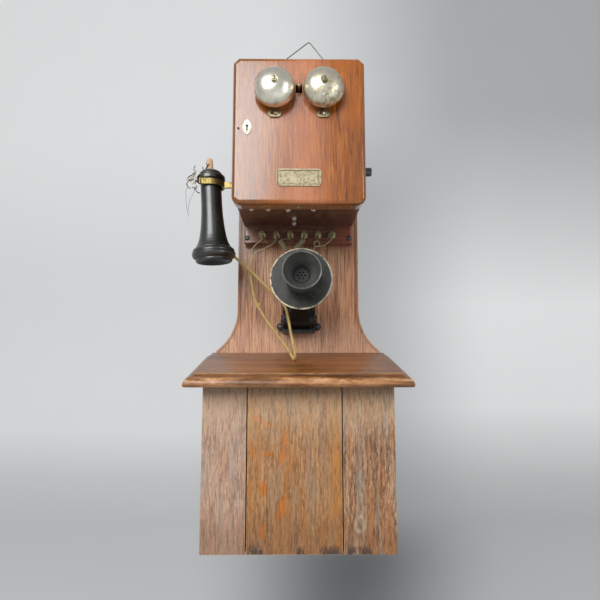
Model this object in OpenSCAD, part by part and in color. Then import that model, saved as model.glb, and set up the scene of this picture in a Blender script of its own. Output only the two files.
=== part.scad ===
// Wall telephone with a hand generator, in millimetres, +Z up.
// The origin is the centre of the backboard's back face and the front looks along -Y.

/* [Backboard] */
// Height of the backboard
board_h = 776; // [770:1:800]
// Width of the backboard above the shelf
board_w = 210; // [206:1:220]
// Width of the backboard behind the battery box
board_low_w = 282; // [278:1:300]
// Thickness of the backboard
board_t = 20; // [18:0.5:24]
// Width of the moulded step round the board's front edge
edge_step = 5; // [3:0.5:7]
// Depth of the moulded step
edge_depth = 4; // [2:0.5:6]
// Radius of the coves above the shelf
cove_r = 88; // [80:1:100]
// Rounding of the board's top corners
board_corner_r = 18; // [12:1:24]
// Spacing of the two wall screw holes
wall_hole_spacing = 110; // [90:1:120]
// Radius of the wall screw holes
wall_hole_r = 2.75; // [2:0.25:3.5]
// Distance of the wall screw holes below the board's top
wall_hole_drop = 30; // [26:1:34]
// Spacing of the hanging wire's screws
hanger_spacing = 162; // [150:1:170]
// Distance of the hanging wire's screws below the board's top
hanger_drop = 14; // [12:1:18]
// Height of the hanging wire's bend above the board's top
hanger_rise = 73; // [60:1:90]
// Offset of the hanging wire's bend to the right
hanger_shift = 20; // [0:1:30]
// Radius of the hanging wire
hanger_wire_r = 0.9; // [0.7:0.1:1]

/* [Top box] */
// Width of the top box
box_w = 184; // [180:1:190]
// Height of the top box
box_h = 215; // [212:1:225]
// Depth of the top box behind the door
box_d = 135; // [133:1:145]
// Thickness of the top box's boards
box_wall = 10; // [9:0.5:11]
// Distance of the top box below the board's top
box_drop = 66; // [60:1:72]

/* [Door] */
// Thickness of the door
door_t = 24; // [22:0.5:26]
// Overhang of the door past the box's sides
door_side = 5.5; // [5.4:0.1:8]
// Overhang of the door past the box's top and bottom
door_end = 5; // [3:0.5:8]
// Gap between the door and the box
door_gap = 0.4; // [0.3:0.1:0.8]
// Rounding of the door's front edges
door_round = 7; // [4:0.5:9]
// Rounding of the door's corners
door_corner_r = 14; // [10:0.5:16]
// Length of a hinge
hinge_l = 36; // [30:1:45]
// Distance of each hinge's middle from the door's nearer end
hinge_inset = 45; // [40:1:60]
// Radius of a hinge knuckle
knuckle_r = 3.2; // [3:0.1:3.6]
// Radius of a hinge pin
hinge_pin_r = 1.6; // [1.3:0.1:2]
// Thickness of a hinge leaf
leaf_t = 1.6; // [1.2:0.1:2]
// Width of a hinge leaf let into the wood
leaf_w = 9; // [7:0.5:9]

/* [Bells] */
// Radius of a gong
gong_r = 30; // [28:0.5:30.5]
// Depth of a gong
gong_depth = 22; // [18:0.5:26]
// Wall of a gong
gong_wall = 1.5; // [1:0.1:2]
// Spacing of the gongs
gong_spacing = 71; // [70:0.5:76]
// Distance of the gongs below the box's top
gong_drop = 51; // [46:1:56]
// Gap between the gongs' rims and the door
gong_gap = 13; // [11:0.5:16]
// Distance of the stands' feet below the gongs' middle
stand_drop = 33; // [32:0.5:38]
// Radius of the striker ball
ball_r = 3.2; // [2.8:0.1:3.4]
// Width of the striker's slot in the door
striker_slot_w = 10; // [9.5:0.5:12]
// Height of the striker's slot in the door
striker_slot_h = 14; // [12:0.5:18]
// Distance of the ringer's pivot below the gongs' middle
ringer_drop = 66; // [62:1:70]
// Radius of a ringer coil
ringer_coil_r = 11; // [9:0.5:11.5]
// Length of a ringer coil
ringer_coil_l = 43; // [38:1:45]
// Spacing of the ringer coils
ringer_coil_spacing = 38; // [34:1:42]

/* [Lock and plates] */
// Keyhole's distance from the box's left side
lock_side = 16.4; // [15:0.2:20]
// Keyhole's distance below the box's top
lock_drop = 105; // [95:1:115]
// Width of the keyhole plate
keyplate_w = 13; // [11:0.5:16]
// Height of the keyhole plate
keyplate_h = 24; // [20:0.5:30]
// Width of the lock case
lock_w = 22; // [18:0.5:24]
// Height of the lock case
lock_h = 28; // [24:0.5:34]
// Depth of the lock case
lock_d = 12; // [10:0.5:14]
// Throw of the lock bolt
bolt_throw = 5; // [3:0.5:5.5]
// Width of the bare plate on the door
plate_w = 64.5; // [56:0.5:76]
// Height of the bare plate on the door
plate_h = 25.4; // [20:0.2:30]
// Height of the bare plate's middle above the box's bottom
plate_rise = 34.5; // [30:0.5:44]

/* [Crank and generator] */
// Distance of the crank's axis in front of the board
crank_d = 65; // [62:1:66]
// Height of the crank's axis above the box's bottom
crank_rise = 80; // [78:1:84]
// Radius of the crank hub
hub_r = 7.2; // [6.4:0.2:8]
// Length of the crank hub outside the box
hub_l = 28; // [22:1:36]
// Radius of the crank shaft
shaft_r = 5; // [4:0.25:5.5]
// Module of the generator's gears
gear_module = 1.25; // [1.2:0.01:1.28]
// Teeth of the drive gear
gear_teeth = 60; // [60:1:60]
// Teeth of the armature's pinion
pinion_teeth = 12; // [12:1:12]
// Width of the drive gear
gear_w = 6; // [4:0.5:7]
// Radius of the armature
armature_r = 13; // [11:0.5:13]
// Gap between the armature and the pole pieces
armature_gap = 0.5; // [0.4:0.1:0.8]
// Width of one horseshoe magnet
magnet_w = 12; // [10:0.5:12.5]
// Thickness of the horseshoe magnets
magnet_t = 10; // [8:0.5:10.5]
// Number of horseshoe magnets
magnet_count = 4; // [2:1:4]

/* [Induction coil] */
// Radius of the induction coil's winding
induction_r = 13; // [11:0.5:14]
// Length of the induction coil's winding
induction_l = 48; // [44:1:52]
// Distance of the induction coil below the box's top
induction_drop = 72; // [68:1:76]

/* [Hook and receiver] */
// Distance of the hook in front of the board
hook_d = 75; // [72:1:78]
// Height of the hook above the box's bottom
hook_rise = 53; // [48:1:58]
// Height of the hook's bar
hook_bar_h = 9; // [8:0.5:10]
// Thickness of the hook's bar
hook_bar_t = 5; // [4:0.5:6]
// Thickness of the fork's prongs
prong_t = 3; // [2.5:0.25:4]
// Gap between the fork's prongs
fork_gap = 37; // [36.5:0.25:38.5]
// Length of the fork's prongs past the middle of its bend
prong_l = 14; // [10:1:26]
// Distance of the fork's bend from the box's side
fork_reach = 49; // [46:1:54]
// Receiver's length below the fork
receiver_l = 133; // [125:1:140]
// Radius of the receiver's neck
neck_r = 16.6; // [15:0.2:16.8]
// Radius of the receiver's shoulder
shoulder_r = 28.5; // [27:0.5:29.5]
// Radius of the receiver's ear cap
ear_cap_r = 34.5; // [34:0.25:36]
// Length of the receiver's ear cap
ear_cap_l = 22; // [21.5:0.5:26]
// Radius of the receiver's head
head_r = 23; // [22:0.25:25]
// Height of the receiver's head
head_h = 19.5; // [17:0.5:22]
// Lean of the receiver in the fork, in degrees
receiver_lean = 3.5; // [0:0.5:4]
// Wall of the receiver's shell
receiver_wall = 3; // [2:0.25:4]

/* [Transmitter] */
// Sideways place of the transmitter's bracket
arm_x = 1; // [-2:0.5:6]
// Sideways place of the transmitter
mouth_x = 4; // [0:0.5:8]
// Height of the arm's pivot above the board's bottom
pivot_rise = 335; // [330:1:345]
// Distance of the arm's pivot in front of the board
pivot_d = 26; // [24:0.5:28]
// Radius of the arm's pivot pin
pivot_pin_r = 4; // [3:0.25:5]
// Radius of the arm's barrel
barrel_r = 14; // [12:0.5:15]
// Width of the arm's barrel
barrel_w = 34; // [28:1:38]
// Thickness of the base's cheeks
cheek_t = 8; // [6:0.5:10]
// Gap between the barrel and each cheek
cheek_gap = 1; // [0.5:0.1:1.5]
// Width of the base plate
base_w = 56; // [55:1:62]
// Height of the base plate
base_h = 56; // [50:1:60]
// Thickness of the base plate
base_t = 6; // [5:0.5:8]
// Reach of the face plate in front of the pivot
face_reach = 94; // [88:1:100]
// Height of the face plate's middle above the pivot
face_rise = 54; // [50:1:58]
// Upward tilt of the transmitter at rest, in degrees
face_tilt = 5; // [0:0.5:8]
// Radius of the face plate
face_r = 47; // [44:0.5:50]
// Thickness of the face plate
face_t = 4; // [3:0.25:5]
// Radius of the cup behind the face plate
cup_r = 41; // [38:0.5:43]
// Depth of the cup
cup_d = 34; // [30:0.5:38]
// Wall of the cup
cup_wall = 2.5; // [2:0.25:3]
// Radius of the mouthpiece's rim
mouth_r = 28; // [25:0.5:31]
// Length of the mouthpiece
mouth_l = 50; // [42:1:56]
// Radius of the mouthpiece's collar
collar_r = 24; // [20:0.5:26]

/* [Terminals] */
// Width of the terminal strip
strip_w = 186; // [180:1:192]
// Height of the terminal strip
strip_h = 29; // [26:0.5:34]
// Thickness of the terminal strip
strip_t = 24; // [20:0.5:28]
// Spacing of the binding posts
post_spacing = 23.6; // [21:0.2:25]
// Radius of a binding post's foot
post_foot_r = 6.5; // [5.5:0.25:8]
// Length of a binding post
post_l = 17; // [14:0.5:20]
// Radius of a binding post's nut
post_nut_r = 5; // [4.2:0.2:6]
// Radius of a binding post's neck
post_neck_r = 2.4; // [2:0.1:3]
// Width of the groove that holds a wire at a post's neck
groove_w = 1.8; // [1.6:0.1:2]

/* [Shelf and battery box] */
// Height of the shelf's back edge above the board's bottom
shelf_rise = 279; // [270:1:290]
// Width of the shelf
shelf_w = 318; // [306:1:330]
// Length of the shelf down its slope
shelf_l = 170; // [163:1:176]
// Thickness of the shelf
shelf_t = 18; // [16:0.5:20]
// Slope of the shelf, in degrees
shelf_slope = 10.3; // [6:0.1:13]
// Width of the shelf's moulding
moulding_w = 13; // [9:0.5:15]
// Width of the battery box
battery_w = 276; // [272:1:278]
// Depth of the battery box with its front
battery_d = 125; // [121:1:135]
// Thickness of the battery box's boards
battery_wall = 15; // [12:0.5:16]
// Width of the left front board
front_left_w = 64; // [50:0.5:80]
// Width of the right front board
front_right_w = 75.5; // [60:0.5:90]
// Gap between the front boards
front_seam = 1.6; // [0.8:0.1:2.4]
// Thickness of the battens behind the front boards
batten_t = 12; // [10:0.5:14]
// Height of the battens
batten_h = 30; // [24:1:40]
// Radius of the front's dowels
dowel_r = 4; // [3:0.25:4.5]
// Length of a dowel inside the battery box's side
dowel_in = 12; // [10:0.5:16]
// Length of a dowel inside the front
dowel_out = 8; // [6:0.5:10]
// Radius of a dry cell
cell_r = 32.5; // [30:0.5:34]
// Height of a dry cell
cell_h = 150; // [140:1:160]
// Spacing of the dry cells
cell_spacing = 78; // [72:1:84]

/* [Fits] */
// Running clearance of the shafts and pins
run_gap = 0.05; // [0.03:0.01:0.08]
// Free gap between pieces that move past each other
free_gap = 0.5; // [0.3:0.1:0.8]

/* [Hidden] */
$fn = 48;
far = 400;

oak = [0.45, 0.24, 0.13];
pale_oak = [0.5, 0.34, 0.22];
black = [0.06, 0.06, 0.06];
brass = [0.72, 0.58, 0.32];
steel = [0.55, 0.55, 0.52];
nickel = [0.68, 0.66, 0.55];

// Main planes
board_y = -board_t;
bottom_z = -board_h / 2;
top_z = board_h / 2;
box_x = box_w / 2;
box_top_z = top_z - box_drop;
box_low_z = box_top_z - box_h;
box_y = board_y - box_d;
floor_z = box_low_z + box_wall;
door_back = box_y - door_gap;
door_y = door_back - door_t;
door_x = box_x + door_side;

// Door hinge axis
hinge_x = box_x + knuckle_r + 0.3;
hinge_y = box_y - door_gap / 2;
hinge_z = [box_low_z - door_end + hinge_inset, box_top_z + door_end - hinge_inset];
pin_head = 1;
hinge_room = hinge_l / 2 + pin_head + free_gap;

// Bells and ringer
gong_z = box_top_z - gong_drop;
rim_y = door_y - gong_gap;
gong_x = [-gong_spacing / 2, gong_spacing / 2];
stand_z = gong_z - stand_drop;
stand_t = 3;
gong_post_r = 3.6;
post_end_y = rim_y + 0.1 - (gong_depth - gong_wall) * sin(acos(gong_post_r / (gong_r - gong_wall)));
ringer_z = gong_z - ringer_drop;
ringer_y = door_back + 20;
striker_z = gong_z + 4;
coil_z = ringer_z - 7 - ringer_coil_l;

// Lock
lock_x = -box_x + lock_side;
lock_z = box_top_z - lock_drop;
lock_left = -box_x + box_wall + 1.6;
bolt_y = door_back + lock_d / 2;
bolt_h = 8;
bolt_t = 4;

// Generator
crank_y = board_y - crank_d;
crank_z = box_low_z + crank_rise;
gear_r = gear_module * gear_teeth / 2;
pinion_r = gear_module * pinion_teeth / 2;
armature_z = crank_z - gear_r - pinion_r;
pole_r = armature_r + armature_gap;
leg_y = pole_r + 3;
magnet_x = 4;
stack_w = magnet_count * (magnet_w + 1) - 1;
plate_x = magnet_x + stack_w + 0.4;
gear_x = plate_x + 6.6;

// Hook and receiver
hook_y = board_y - hook_d;
hook_z = box_low_z + hook_rise;
pivot_x = -box_x + 32;
fork_x = -box_x - fork_reach;
fork_r = fork_gap / 2;
receiver_x = fork_x - 1;
receiver_z = hook_z + hook_bar_h / 2 + 0.3 + head_r * sin(receiver_lean);

// Transmitter
pivot_y = board_y - pivot_d;
pivot_z = bottom_z + pivot_rise;
base_low_z = pivot_z - 23;
face_y = pivot_y - face_reach;
face_z = pivot_z + face_rise;
cheek_x = barrel_w / 2 + cheek_gap;
ear_r = 6.5;
ear_x = max(base_w / 2 + 2, cheek_x + cheek_t + 5.2);
ear_z = base_low_z + 11;

// Terminals
strip_y = board_y - strip_t;
strip_low_z = box_low_z - strip_h;
post_z = strip_low_z + 13;
post_x = [for (i = [0:5]) -2 + (i - 2.5) * post_spacing];
strip_screw_x = strip_w / 2 - 6;
strip_screw_z = strip_low_z + 7.5;
// Places of the underside terminals, across and behind the box's front
underside_at = [[-71, 12], [-46, 13], [-16, 17], [22, 14], [-7, 63], [-7, 96]];

// Shelf and battery box
shelf_z = bottom_z + shelf_rise;
shelf_front = shelf_l * cos(shelf_slope);
front_top = shelf_z - shelf_l * sin(shelf_slope) - shelf_t * cos(shelf_slope) - 1;
battery_x = battery_w / 2;
front_y = board_y - battery_d;
front_back = front_y + battery_wall;
dowel_z = [bottom_z + 40, front_top - 30];
batten_z = [bottom_z + 70, front_top - 75];
cell_y = board_y - 14 - cell_r;

// Coves of the backboard
cove_in = (board_low_w - board_w) / 2;
cove_end = shelf_z + 3;

// Rounded front edge: a rectangle whose two corners on the -Y side are arcs
module round_front(w, t, r) {
    translate([-w / 2, -t + r])
        square([w, t - r]);
    translate([-w / 2 + r, -t])
        square([w - 2 * r, t]);
    for (s = [-1, 1])
        translate([s * (w / 2 - r), -t + r])
            circle(r);
}

// Panel with its back on the XZ plane, round corners and front edges rounded all the way round
module round_panel(w, h, t, corner, edge) {
    across = (w + h - 4 * corner) / sqrt(2) + 2 * corner;
    intersection() {
        face_on(0, 0, 0, t)
            round_rect(w, h, corner);
        edge_prism(0, w, h, t, edge);
        edge_prism(90, h, w, t, edge);
        edge_prism(45, across, across, t, edge);
        edge_prism(-45, across, across, t, edge);
    }
}

// Long bar of the panel's width and depth, turned in the panel's plane
module edge_prism(turn, w, l, t, edge) {
    rotate([0, turn, 0])
        translate([0, 0, -l])
            linear_extrude(2 * l)
                round_front(w, t, edge);
}

// Rectangle with four round corners
module round_rect(w, h, r) {
    translate([-w / 2 + r, -h / 2])
        square([w - 2 * r, h]);
    translate([-w / 2, -h / 2 + r])
        square([w, h - 2 * r]);
    for (s = [-1, 1], t = [-1, 1])
        translate([s * (w / 2 - r), t * (h / 2 - r)])
            circle(r);
}

// Slot outline lying along X
module stadium(l, r) {
    translate([-l / 2, -r])
        square([l, 2 * r]);
    for (s = [-1, 1])
        translate([s * l / 2, 0])
            circle(r);
}

module block(x0, x1, y0, y1, z0, z1) {
    translate([x0, y0, z0])
        cube([x1 - x0, y1 - y0, z1 - z0]);
}

module xrod(r, x0, x1, y, z) {
    translate([x0, y, z])
        rotate([0, 90, 0])
            cylinder(r = r, h = x1 - x0);
}

module yrod(r, y0, y1, x, z) {
    translate([x, y0, z])
        rotate([-90, 0, 0])
            cylinder(r = r, h = y1 - y0);
}

module zrod(r, z0, z1, x, y) {
    translate([x, y, z0])
        cylinder(r = r, h = z1 - z0);
}

// Flat shape in X and Z, from plane y0 out to a depth d in front of it
module face_on(x, y0, z, d) {
    translate([x, y0, z])
        rotate([90, 0, 0])
            linear_extrude(d)
                children();
}

// Turned piece whose axis runs forward from a point; its outline is [radius, height]
module turned(x, y, z, outline) {
    translate([x, y, z])
        rotate([90, 0, 0])
            rotate_extrude()
                polygon(outline);
}

function unit(v) = v / norm(v);
function tangents(p) = [for (i = [0:len(p) - 1]) unit(p[min(i + 1, len(p) - 1)] - p[max(i - 1, 0)])];
function square_to(v, t) = unit(v - (v * t) * t);
function side_of(t) = square_to(abs(t[0]) < 0.9 ? [1, 0, 0] : [0, 1, 0], t);
// Normals carried along a path with no twist
function normals(t) = [for (i = 0, n = side_of(t[0]); i < len(t);
    i = i + 1, n = i < len(t) ? square_to(n, t[i]) : n) n];

// Round tube along a path
module tube(path, r, sides) {
    t = tangents(path);
    n = normals(t);
    last = len(path) - 1;
    polyhedron(
        points = [for (i = [0:last], k = [0:sides - 1])
            path[i] + r * (cos(360 * k / sides) * n[i] + sin(360 * k / sides) * cross(t[i], n[i]))],
        faces = concat(
            [[for (k = [0:sides - 1]) k]],
            [[for (k = [0:sides - 1]) last * sides + sides - 1 - k]],
            [for (i = [0:last - 1], k = [0:sides - 1])
                [i * sides + k, (i + 1) * sides + k, (i + 1) * sides + (k + 1) % sides]],
            [for (i = [0:last - 1], k = [0:sides - 1])
                [i * sides + k, (i + 1) * sides + (k + 1) % sides, i * sides + (k + 1) % sides]]));
}

// Smooth curve through hand-chosen points, n steps to each stretch
function curve_at(p, i, u) =
    let (a = p[max(i - 1, 0)], b = p[i], c = p[i + 1], d = p[min(i + 2, len(p) - 1)])
    0.5 * ((2 * b) + (c - a) * u + (2 * a - 5 * b + 4 * c - d) * u * u + (3 * b - a - 3 * c + d) * u * u * u);
function curve(p, n) = concat([for (i = [0:len(p) - 2], k = [0:n - 1]) curve_at(p, i, k / n)],
    [p[len(p) - 1]]);

// Outline of the backboard, drawn in by the given inset
function cove_angle(inset) = acos((cove_r - cove_in + inset) / (cove_r + inset));
cove_top = cove_end + cove_r * sin(cove_angle(0));
function board_half(inset) = concat(
    [for (k = [0:6])
        [board_w / 2 - board_corner_r + (board_corner_r - inset) * sin(15 * k),
            top_z - board_corner_r + (board_corner_r - inset) * cos(15 * k)]],
    [for (k = [0:14])
        [board_w / 2 + cove_r - (cove_r + inset) * cos(cove_angle(inset) * k / 14),
            cove_top - (cove_r + inset) * sin(cove_angle(inset) * k / 14)]],
    [[board_low_w / 2 - inset, shelf_z - 8], [board_low_w / 2, shelf_z - 8], [board_low_w / 2, bottom_z]]);
function mirrored(p) = [for (i = [len(p) - 1:-1:0]) [-p[i][0], p[i][1]]];

module board_layer(inset, y0, y1) {
    half = board_half(inset);
    face_on(0, -y0, 0, y1 - y0)
        polygon(concat(half, mirrored(half)));
}

// Places of the round-head wood screws: x, y of the head's seat, z and shank length
screw_at = concat(
    [for (s = [-1, 1]) [s * hanger_spacing / 2, board_y - 2 * hanger_wire_r - 0.2, top_z - hanger_drop,
        14]],
    [for (s = [-1, 1]) [s * strip_screw_x, strip_y, strip_screw_z, strip_t + 10]],
    [for (s = [-1, 1]) [arm_x + s * ear_x, board_y - base_t, ear_z, base_t + 11]]);
screw_r = 2.2;

module screw_holes() {
    for (s = screw_at)
        yrod(screw_r, s[1], s[1] + s[3], s[0], s[2]);
}

module wood_screws() {
    color(black)
        for (s = screw_at)
            difference() {
                union() {
                    yrod(screw_r, s[1], s[1] + s[3], s[0], s[2]);
                    turned(s[0], s[1], s[2], [[0, 0], [4.4, 0], [4.2, 1.2], [3.4, 2], [1.8, 2.6],
                    [0, 2.8]]);
                }
                block(s[0] - 5, s[0] + 5, s[1] - 4, s[1] - 1.6, s[2] - 0.5, s[2] + 0.5);
            }
}

module backboard() {
    color(oak)
        difference() {
            union() {
                board_layer(0, 0, board_t - edge_depth);
                board_layer(edge_step, board_t - edge_depth, board_t);
            }
            for (s = [-1, 1])
                yrod(wall_hole_r, -board_t - 1, 1, s * wall_hole_spacing / 2, top_z - wall_hole_drop);
            screw_holes();
        }
}

// Hanging wire: three quarters of a turn round each screw and two straight legs up to the bend
wire_y = board_y - hanger_wire_r - 0.1;
wire_eye_r = screw_r + hanger_wire_r + 0.3;
wire_bend = [hanger_shift, wire_y, top_z + hanger_rise];
function wire_eye(s) = [s * hanger_spacing / 2, wire_y, top_z - hanger_drop];
// Points round an eye from its free end to the leg's foot, as seen from the front
function eye_points(s) =
    let (leg = unit(wire_bend - wire_eye(s)), foot = atan2(-s * leg[0], s * leg[2]))
    [for (k = [9:-1:0]) wire_eye(s) + wire_eye_r * [cos(foot - s * 30 * k), 0, sin(foot - s * 30 * k)]];
function backwards(p) = [for (i = [len(p) - 1:-1:0]) p[i]];
// Point on the way from the left or right foot to the bend, at a distance short of it
function leg_point(s, d) = wire_bend + d * unit(eye_points(s)[9] - wire_bend);

module hanging_wire() {
    bend_top = (leg_point(-1, 2) + leg_point(1, 2)) / 2;
    color(steel)
        tube(concat(eye_points(-1), [leg_point(-1, 60), leg_point(-1, 4), bend_top, leg_point(1, 4),
            leg_point(1, 60)],
            backwards(eye_points(1))), hanger_wire_r, 8);
}

// Top box
module box_left_side() {
    color(oak)
        difference() {
            block(-box_x, -box_x + box_wall, box_y, board_y, floor_z, box_top_z - box_wall);
            hook_slot(-box_x - 1, -box_x + box_wall + 1);
            block(-box_x + box_wall - bolt_throw - 1, -box_x + box_wall + 1, bolt_y - bolt_t / 2 - free_gap,
                bolt_y + bolt_t / 2 + free_gap, lock_z - bolt_h / 2 - free_gap,
                    lock_z + bolt_h / 2 + free_gap);
        }
}

module hook_slot(x0, x1) {
    block(x0, x1, hook_y - hook_bar_t / 2 - 1, hook_y + hook_bar_t / 2 + 1,
        hook_z - hook_bar_h / 2 - 1, hook_z + hook_bar_h / 2 + 6);
}

module box_right_side() {
    color(oak)
        difference() {
            block(box_x - box_wall, box_x, box_y, board_y, floor_z, box_top_z - box_wall);
            xrod(shaft_r + 2.5, box_x - box_wall - 1, box_x + 1, crank_y, crank_z);
            for (z = hinge_z)
                block(box_x - leaf_w, box_x + 1, box_y - 1, box_y + leaf_t, z - hinge_l / 2,
                    z + hinge_l / 2);
        }
}

module box_top() {
    color(oak)
        block(-box_x, box_x, box_y, board_y, box_top_z - box_wall, box_top_z);
}

module box_bottom() {
    color(oak)
        block(-box_x, box_x, box_y, board_y, box_low_z, floor_z);
}

// Door
module door_panel() {
    h = box_h + 2 * door_end;
    mid_z = (box_top_z + box_low_z) / 2;
    color(oak)
        difference() {
            translate([0, door_back, mid_z])
                round_panel(2 * door_x, h, door_t, door_corner_r, door_round);
            block(-striker_slot_w / 2, striker_slot_w / 2, door_y - 1, door_back + 1,
                striker_z + 2 - striker_slot_h / 2, striker_z + 2 + striker_slot_h / 2);
            yrod(2.4, door_y - 1, door_back + 1, lock_x, lock_z + 2);
            block(lock_x - 1.2, lock_x + 1.2, door_y - 1, door_back + 1, lock_z - 6, lock_z + 2);
            for (z = hinge_z) {
                zrod(knuckle_r + free_gap, z - hinge_room, z + hinge_room, hinge_x, hinge_y);
                block(hinge_x, door_x + 1, hinge_y - knuckle_r - free_gap, door_back + 1,
                    z - hinge_room, z + hinge_room);
                block(box_x - leaf_w, hinge_x, door_back - leaf_t, door_back + 1,
                    z - hinge_l / 2, z + hinge_l / 2);
            }
            for (x = gong_x)
                yrod(1.9, door_y - 1, door_y + 9, x + 2, stand_z);
        }
}

module hinge_box_leaves() {
    third = hinge_l / 3;
    color(brass)
        for (z = hinge_z)
            difference() {
                union() {
                    block(box_x - leaf_w, box_x, box_y, box_y + leaf_t, z - hinge_l / 2, z + hinge_l / 2);
                    for (s = [-1, 1]) {
                        block(box_x - 0.5, hinge_x, box_y, box_y + leaf_t,
                            z + s * third - third / 2, z + s * third + third / 2);
                        zrod(knuckle_r, z + s * third - third / 2, z + s * third + third / 2, hinge_x,
                            hinge_y);
                    }
                }
                zrod(hinge_pin_r, z - hinge_l, z + hinge_l, hinge_x, hinge_y);
                zrod(knuckle_r + free_gap, z - third / 2, z + third / 2, hinge_x, hinge_y);
            }
}

module hinge_door_leaves() {
    third = hinge_l / 3;
    color(brass)
        for (z = hinge_z)
            difference() {
                union() {
                    block(box_x - leaf_w, box_x - 0.5, door_back - leaf_t, door_back,
                        z - hinge_l / 2, z + hinge_l / 2);
                    block(box_x - 1, hinge_x, door_back - leaf_t, door_back, z - third / 2 + 0.1,
                        z + third / 2 - 0.1);
                    zrod(knuckle_r, z - third / 2 + 0.1, z + third / 2 - 0.1, hinge_x, hinge_y);
                }
                zrod(hinge_pin_r + run_gap, z - hinge_l, z + hinge_l, hinge_x, hinge_y);
                for (s = [-1, 1])
                    zrod(knuckle_r + free_gap, z + s * third - third / 2, z + s * third + third / 2,
                        hinge_x, hinge_y);
            }
}

module hinge_pins() {
    color(brass)
        for (z = hinge_z) {
            zrod(hinge_pin_r, z - hinge_l / 2, z + hinge_l / 2, hinge_x, hinge_y);
            for (s = [-1, 1], middle = z + s * (hinge_l + pin_head) / 2)
                zrod(hinge_pin_r + 0.8, middle - pin_head / 2, middle + pin_head / 2, hinge_x, hinge_y);
        }
}

// Bells
function dome(r, d, n) = [for (k = [0:n]) [r * cos(90 * k / n), d * sin(90 * k / n)]];

module gongs() {
    outside = dome(gong_r, gong_depth, 16);
    inside = dome(gong_r - gong_wall, gong_depth - gong_wall, 16);
    color(nickel)
        for (x = gong_x)
            difference() {
                turned(x, rim_y, gong_z, concat(outside, [[0, 0]]));
                turned(x, rim_y, gong_z, concat(inside, [[0, 0]]));
                yrod(2.5, rim_y - gong_depth - 1, rim_y, x, gong_z);
            }
}

module gong_stands() {
    color(steel)
        for (x = gong_x)
            difference() {
                union() {
                    face_on(x, door_y, stand_z, stand_t)
                        stadium(8, 5.6);
                    block(x - 3.5, x + 3.5, door_y - stand_t, door_y, stand_z, gong_z);
                    yrod(5, door_y - stand_t, door_y, x, gong_z);
                    yrod(gong_post_r, post_end_y, door_y, x, gong_z);
                }
                face_on(x, door_y + 1, stand_z, stand_t + 2)
                    stadium(6, 2.4);
                yrod(2.5, post_end_y - 1, post_end_y + 9, x, gong_z);
            }
}

module gong_screws() {
    seat_y = rim_y - gong_depth;
    color(nickel)
        for (x = gong_x) {
            difference() {
                union() {
                    turned(x, seat_y, gong_z, [[0, 0], [5.5, 0], [5.5, 1], [4, 1], [4, 4], [2.6, 4],
                        [2.4, 5.6], [0, 6]]);
                    yrod(2.5, seat_y - 1, post_end_y + 9, x, gong_z);
                }
                block(x - 4, x + 4, seat_y - 7, seat_y - 4.6, gong_z - 0.4, gong_z + 0.4);
            }
            difference() {
                union() {
                    turned(x + 2, door_y - stand_t, stand_z, [[0, 0], [3.8, 0], [3.6, 1.2], [2.4, 2.1],
                        [0, 2.5]]);
                    yrod(1.9, door_y - stand_t - 1, door_y + 9, x + 2, stand_z);
                }
                block(x - 3, x + 7, door_y - stand_t - 4, door_y - stand_t - 1.3, stand_z - 0.4,
                    stand_z + 0.4);
            }
        }
}

module ringer_frame() {
    yoke_z = coil_z - 6;
    color(steel) {
        block(-ringer_coil_spacing / 2 - 7, ringer_coil_spacing / 2 + 7, ringer_y - 7, ringer_y + 12,
            yoke_z, coil_z);
        for (s = [-1, 1]) {
            block(s * 15 - 5, s * 15 + 5, door_back, ringer_y - 6, yoke_z, coil_z);
            zrod(4, coil_z - 1, coil_z + ringer_coil_l + 2.5, s * ringer_coil_spacing / 2, ringer_y);
        }
        block(-6, 6, door_back, ringer_y - 8, ringer_z - 6, ringer_z + 6);
        yrod(1.6, ringer_y - 9, ringer_y + 7, 0, ringer_z);
    }
}

module ringer_coils() {
    color(brass)
        for (s = [-1, 1])
            difference() {
                zrod(ringer_coil_r, coil_z, coil_z + ringer_coil_l, s * ringer_coil_spacing / 2, ringer_y);
                zrod(4, coil_z - 1, coil_z + ringer_coil_l + 1, s * ringer_coil_spacing / 2, ringer_y);
            }
}

module ringer_magnet() {
    color(black) {
        block(-6, 6, ringer_y + 12, ringer_y + 20, coil_z - 6, coil_z);
        block(-6, 6, ringer_y + 15, ringer_y + 20, coil_z - 6, ringer_z + 10);
        block(-6, 6, ringer_y + 8, ringer_y + 16, ringer_z + 5, ringer_z + 10);
    }
}

// Striker: rocking armature bar, wire and ball
module striker() {
    bar_x = ringer_coil_spacing / 2 + 6;
    color(steel)
        difference() {
            union() {
                block(-bar_x, bar_x, ringer_y - 5, ringer_y + 5, ringer_z - 2, ringer_z + 2);
                yrod(4.2, ringer_y - 5, ringer_y + 5, 0, ringer_z);
                zrod(1.3, ringer_z + 3, striker_z, 0, ringer_y);
                yrod(1.3, rim_y, ringer_y, 0, striker_z);
                translate([0, ringer_y, striker_z])
                    sphere(1.3, $fn = 24);
                translate([0, rim_y, striker_z])
                    sphere(ball_r, $fn = 32);
            }
            yrod(1.6 + run_gap, ringer_y - 9, ringer_y + 9, 0, ringer_z);
        }
}

// Lock and plates
module lock_case() {
    color(brass)
        difference() {
            block(lock_left, lock_left + lock_w, door_back, door_back + lock_d, lock_z - lock_h / 2,
                lock_z + lock_h / 2);
            block(lock_left - 1, lock_left + lock_w - 3, bolt_y - bolt_t / 2 - 0.3,
                bolt_y + bolt_t / 2 + 0.3,
                lock_z - bolt_h / 2 - 0.3, lock_z + bolt_h / 2 + 0.3);
            yrod(2.4, door_back - 1, bolt_y, lock_x, lock_z + 2);
        }
}

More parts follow.
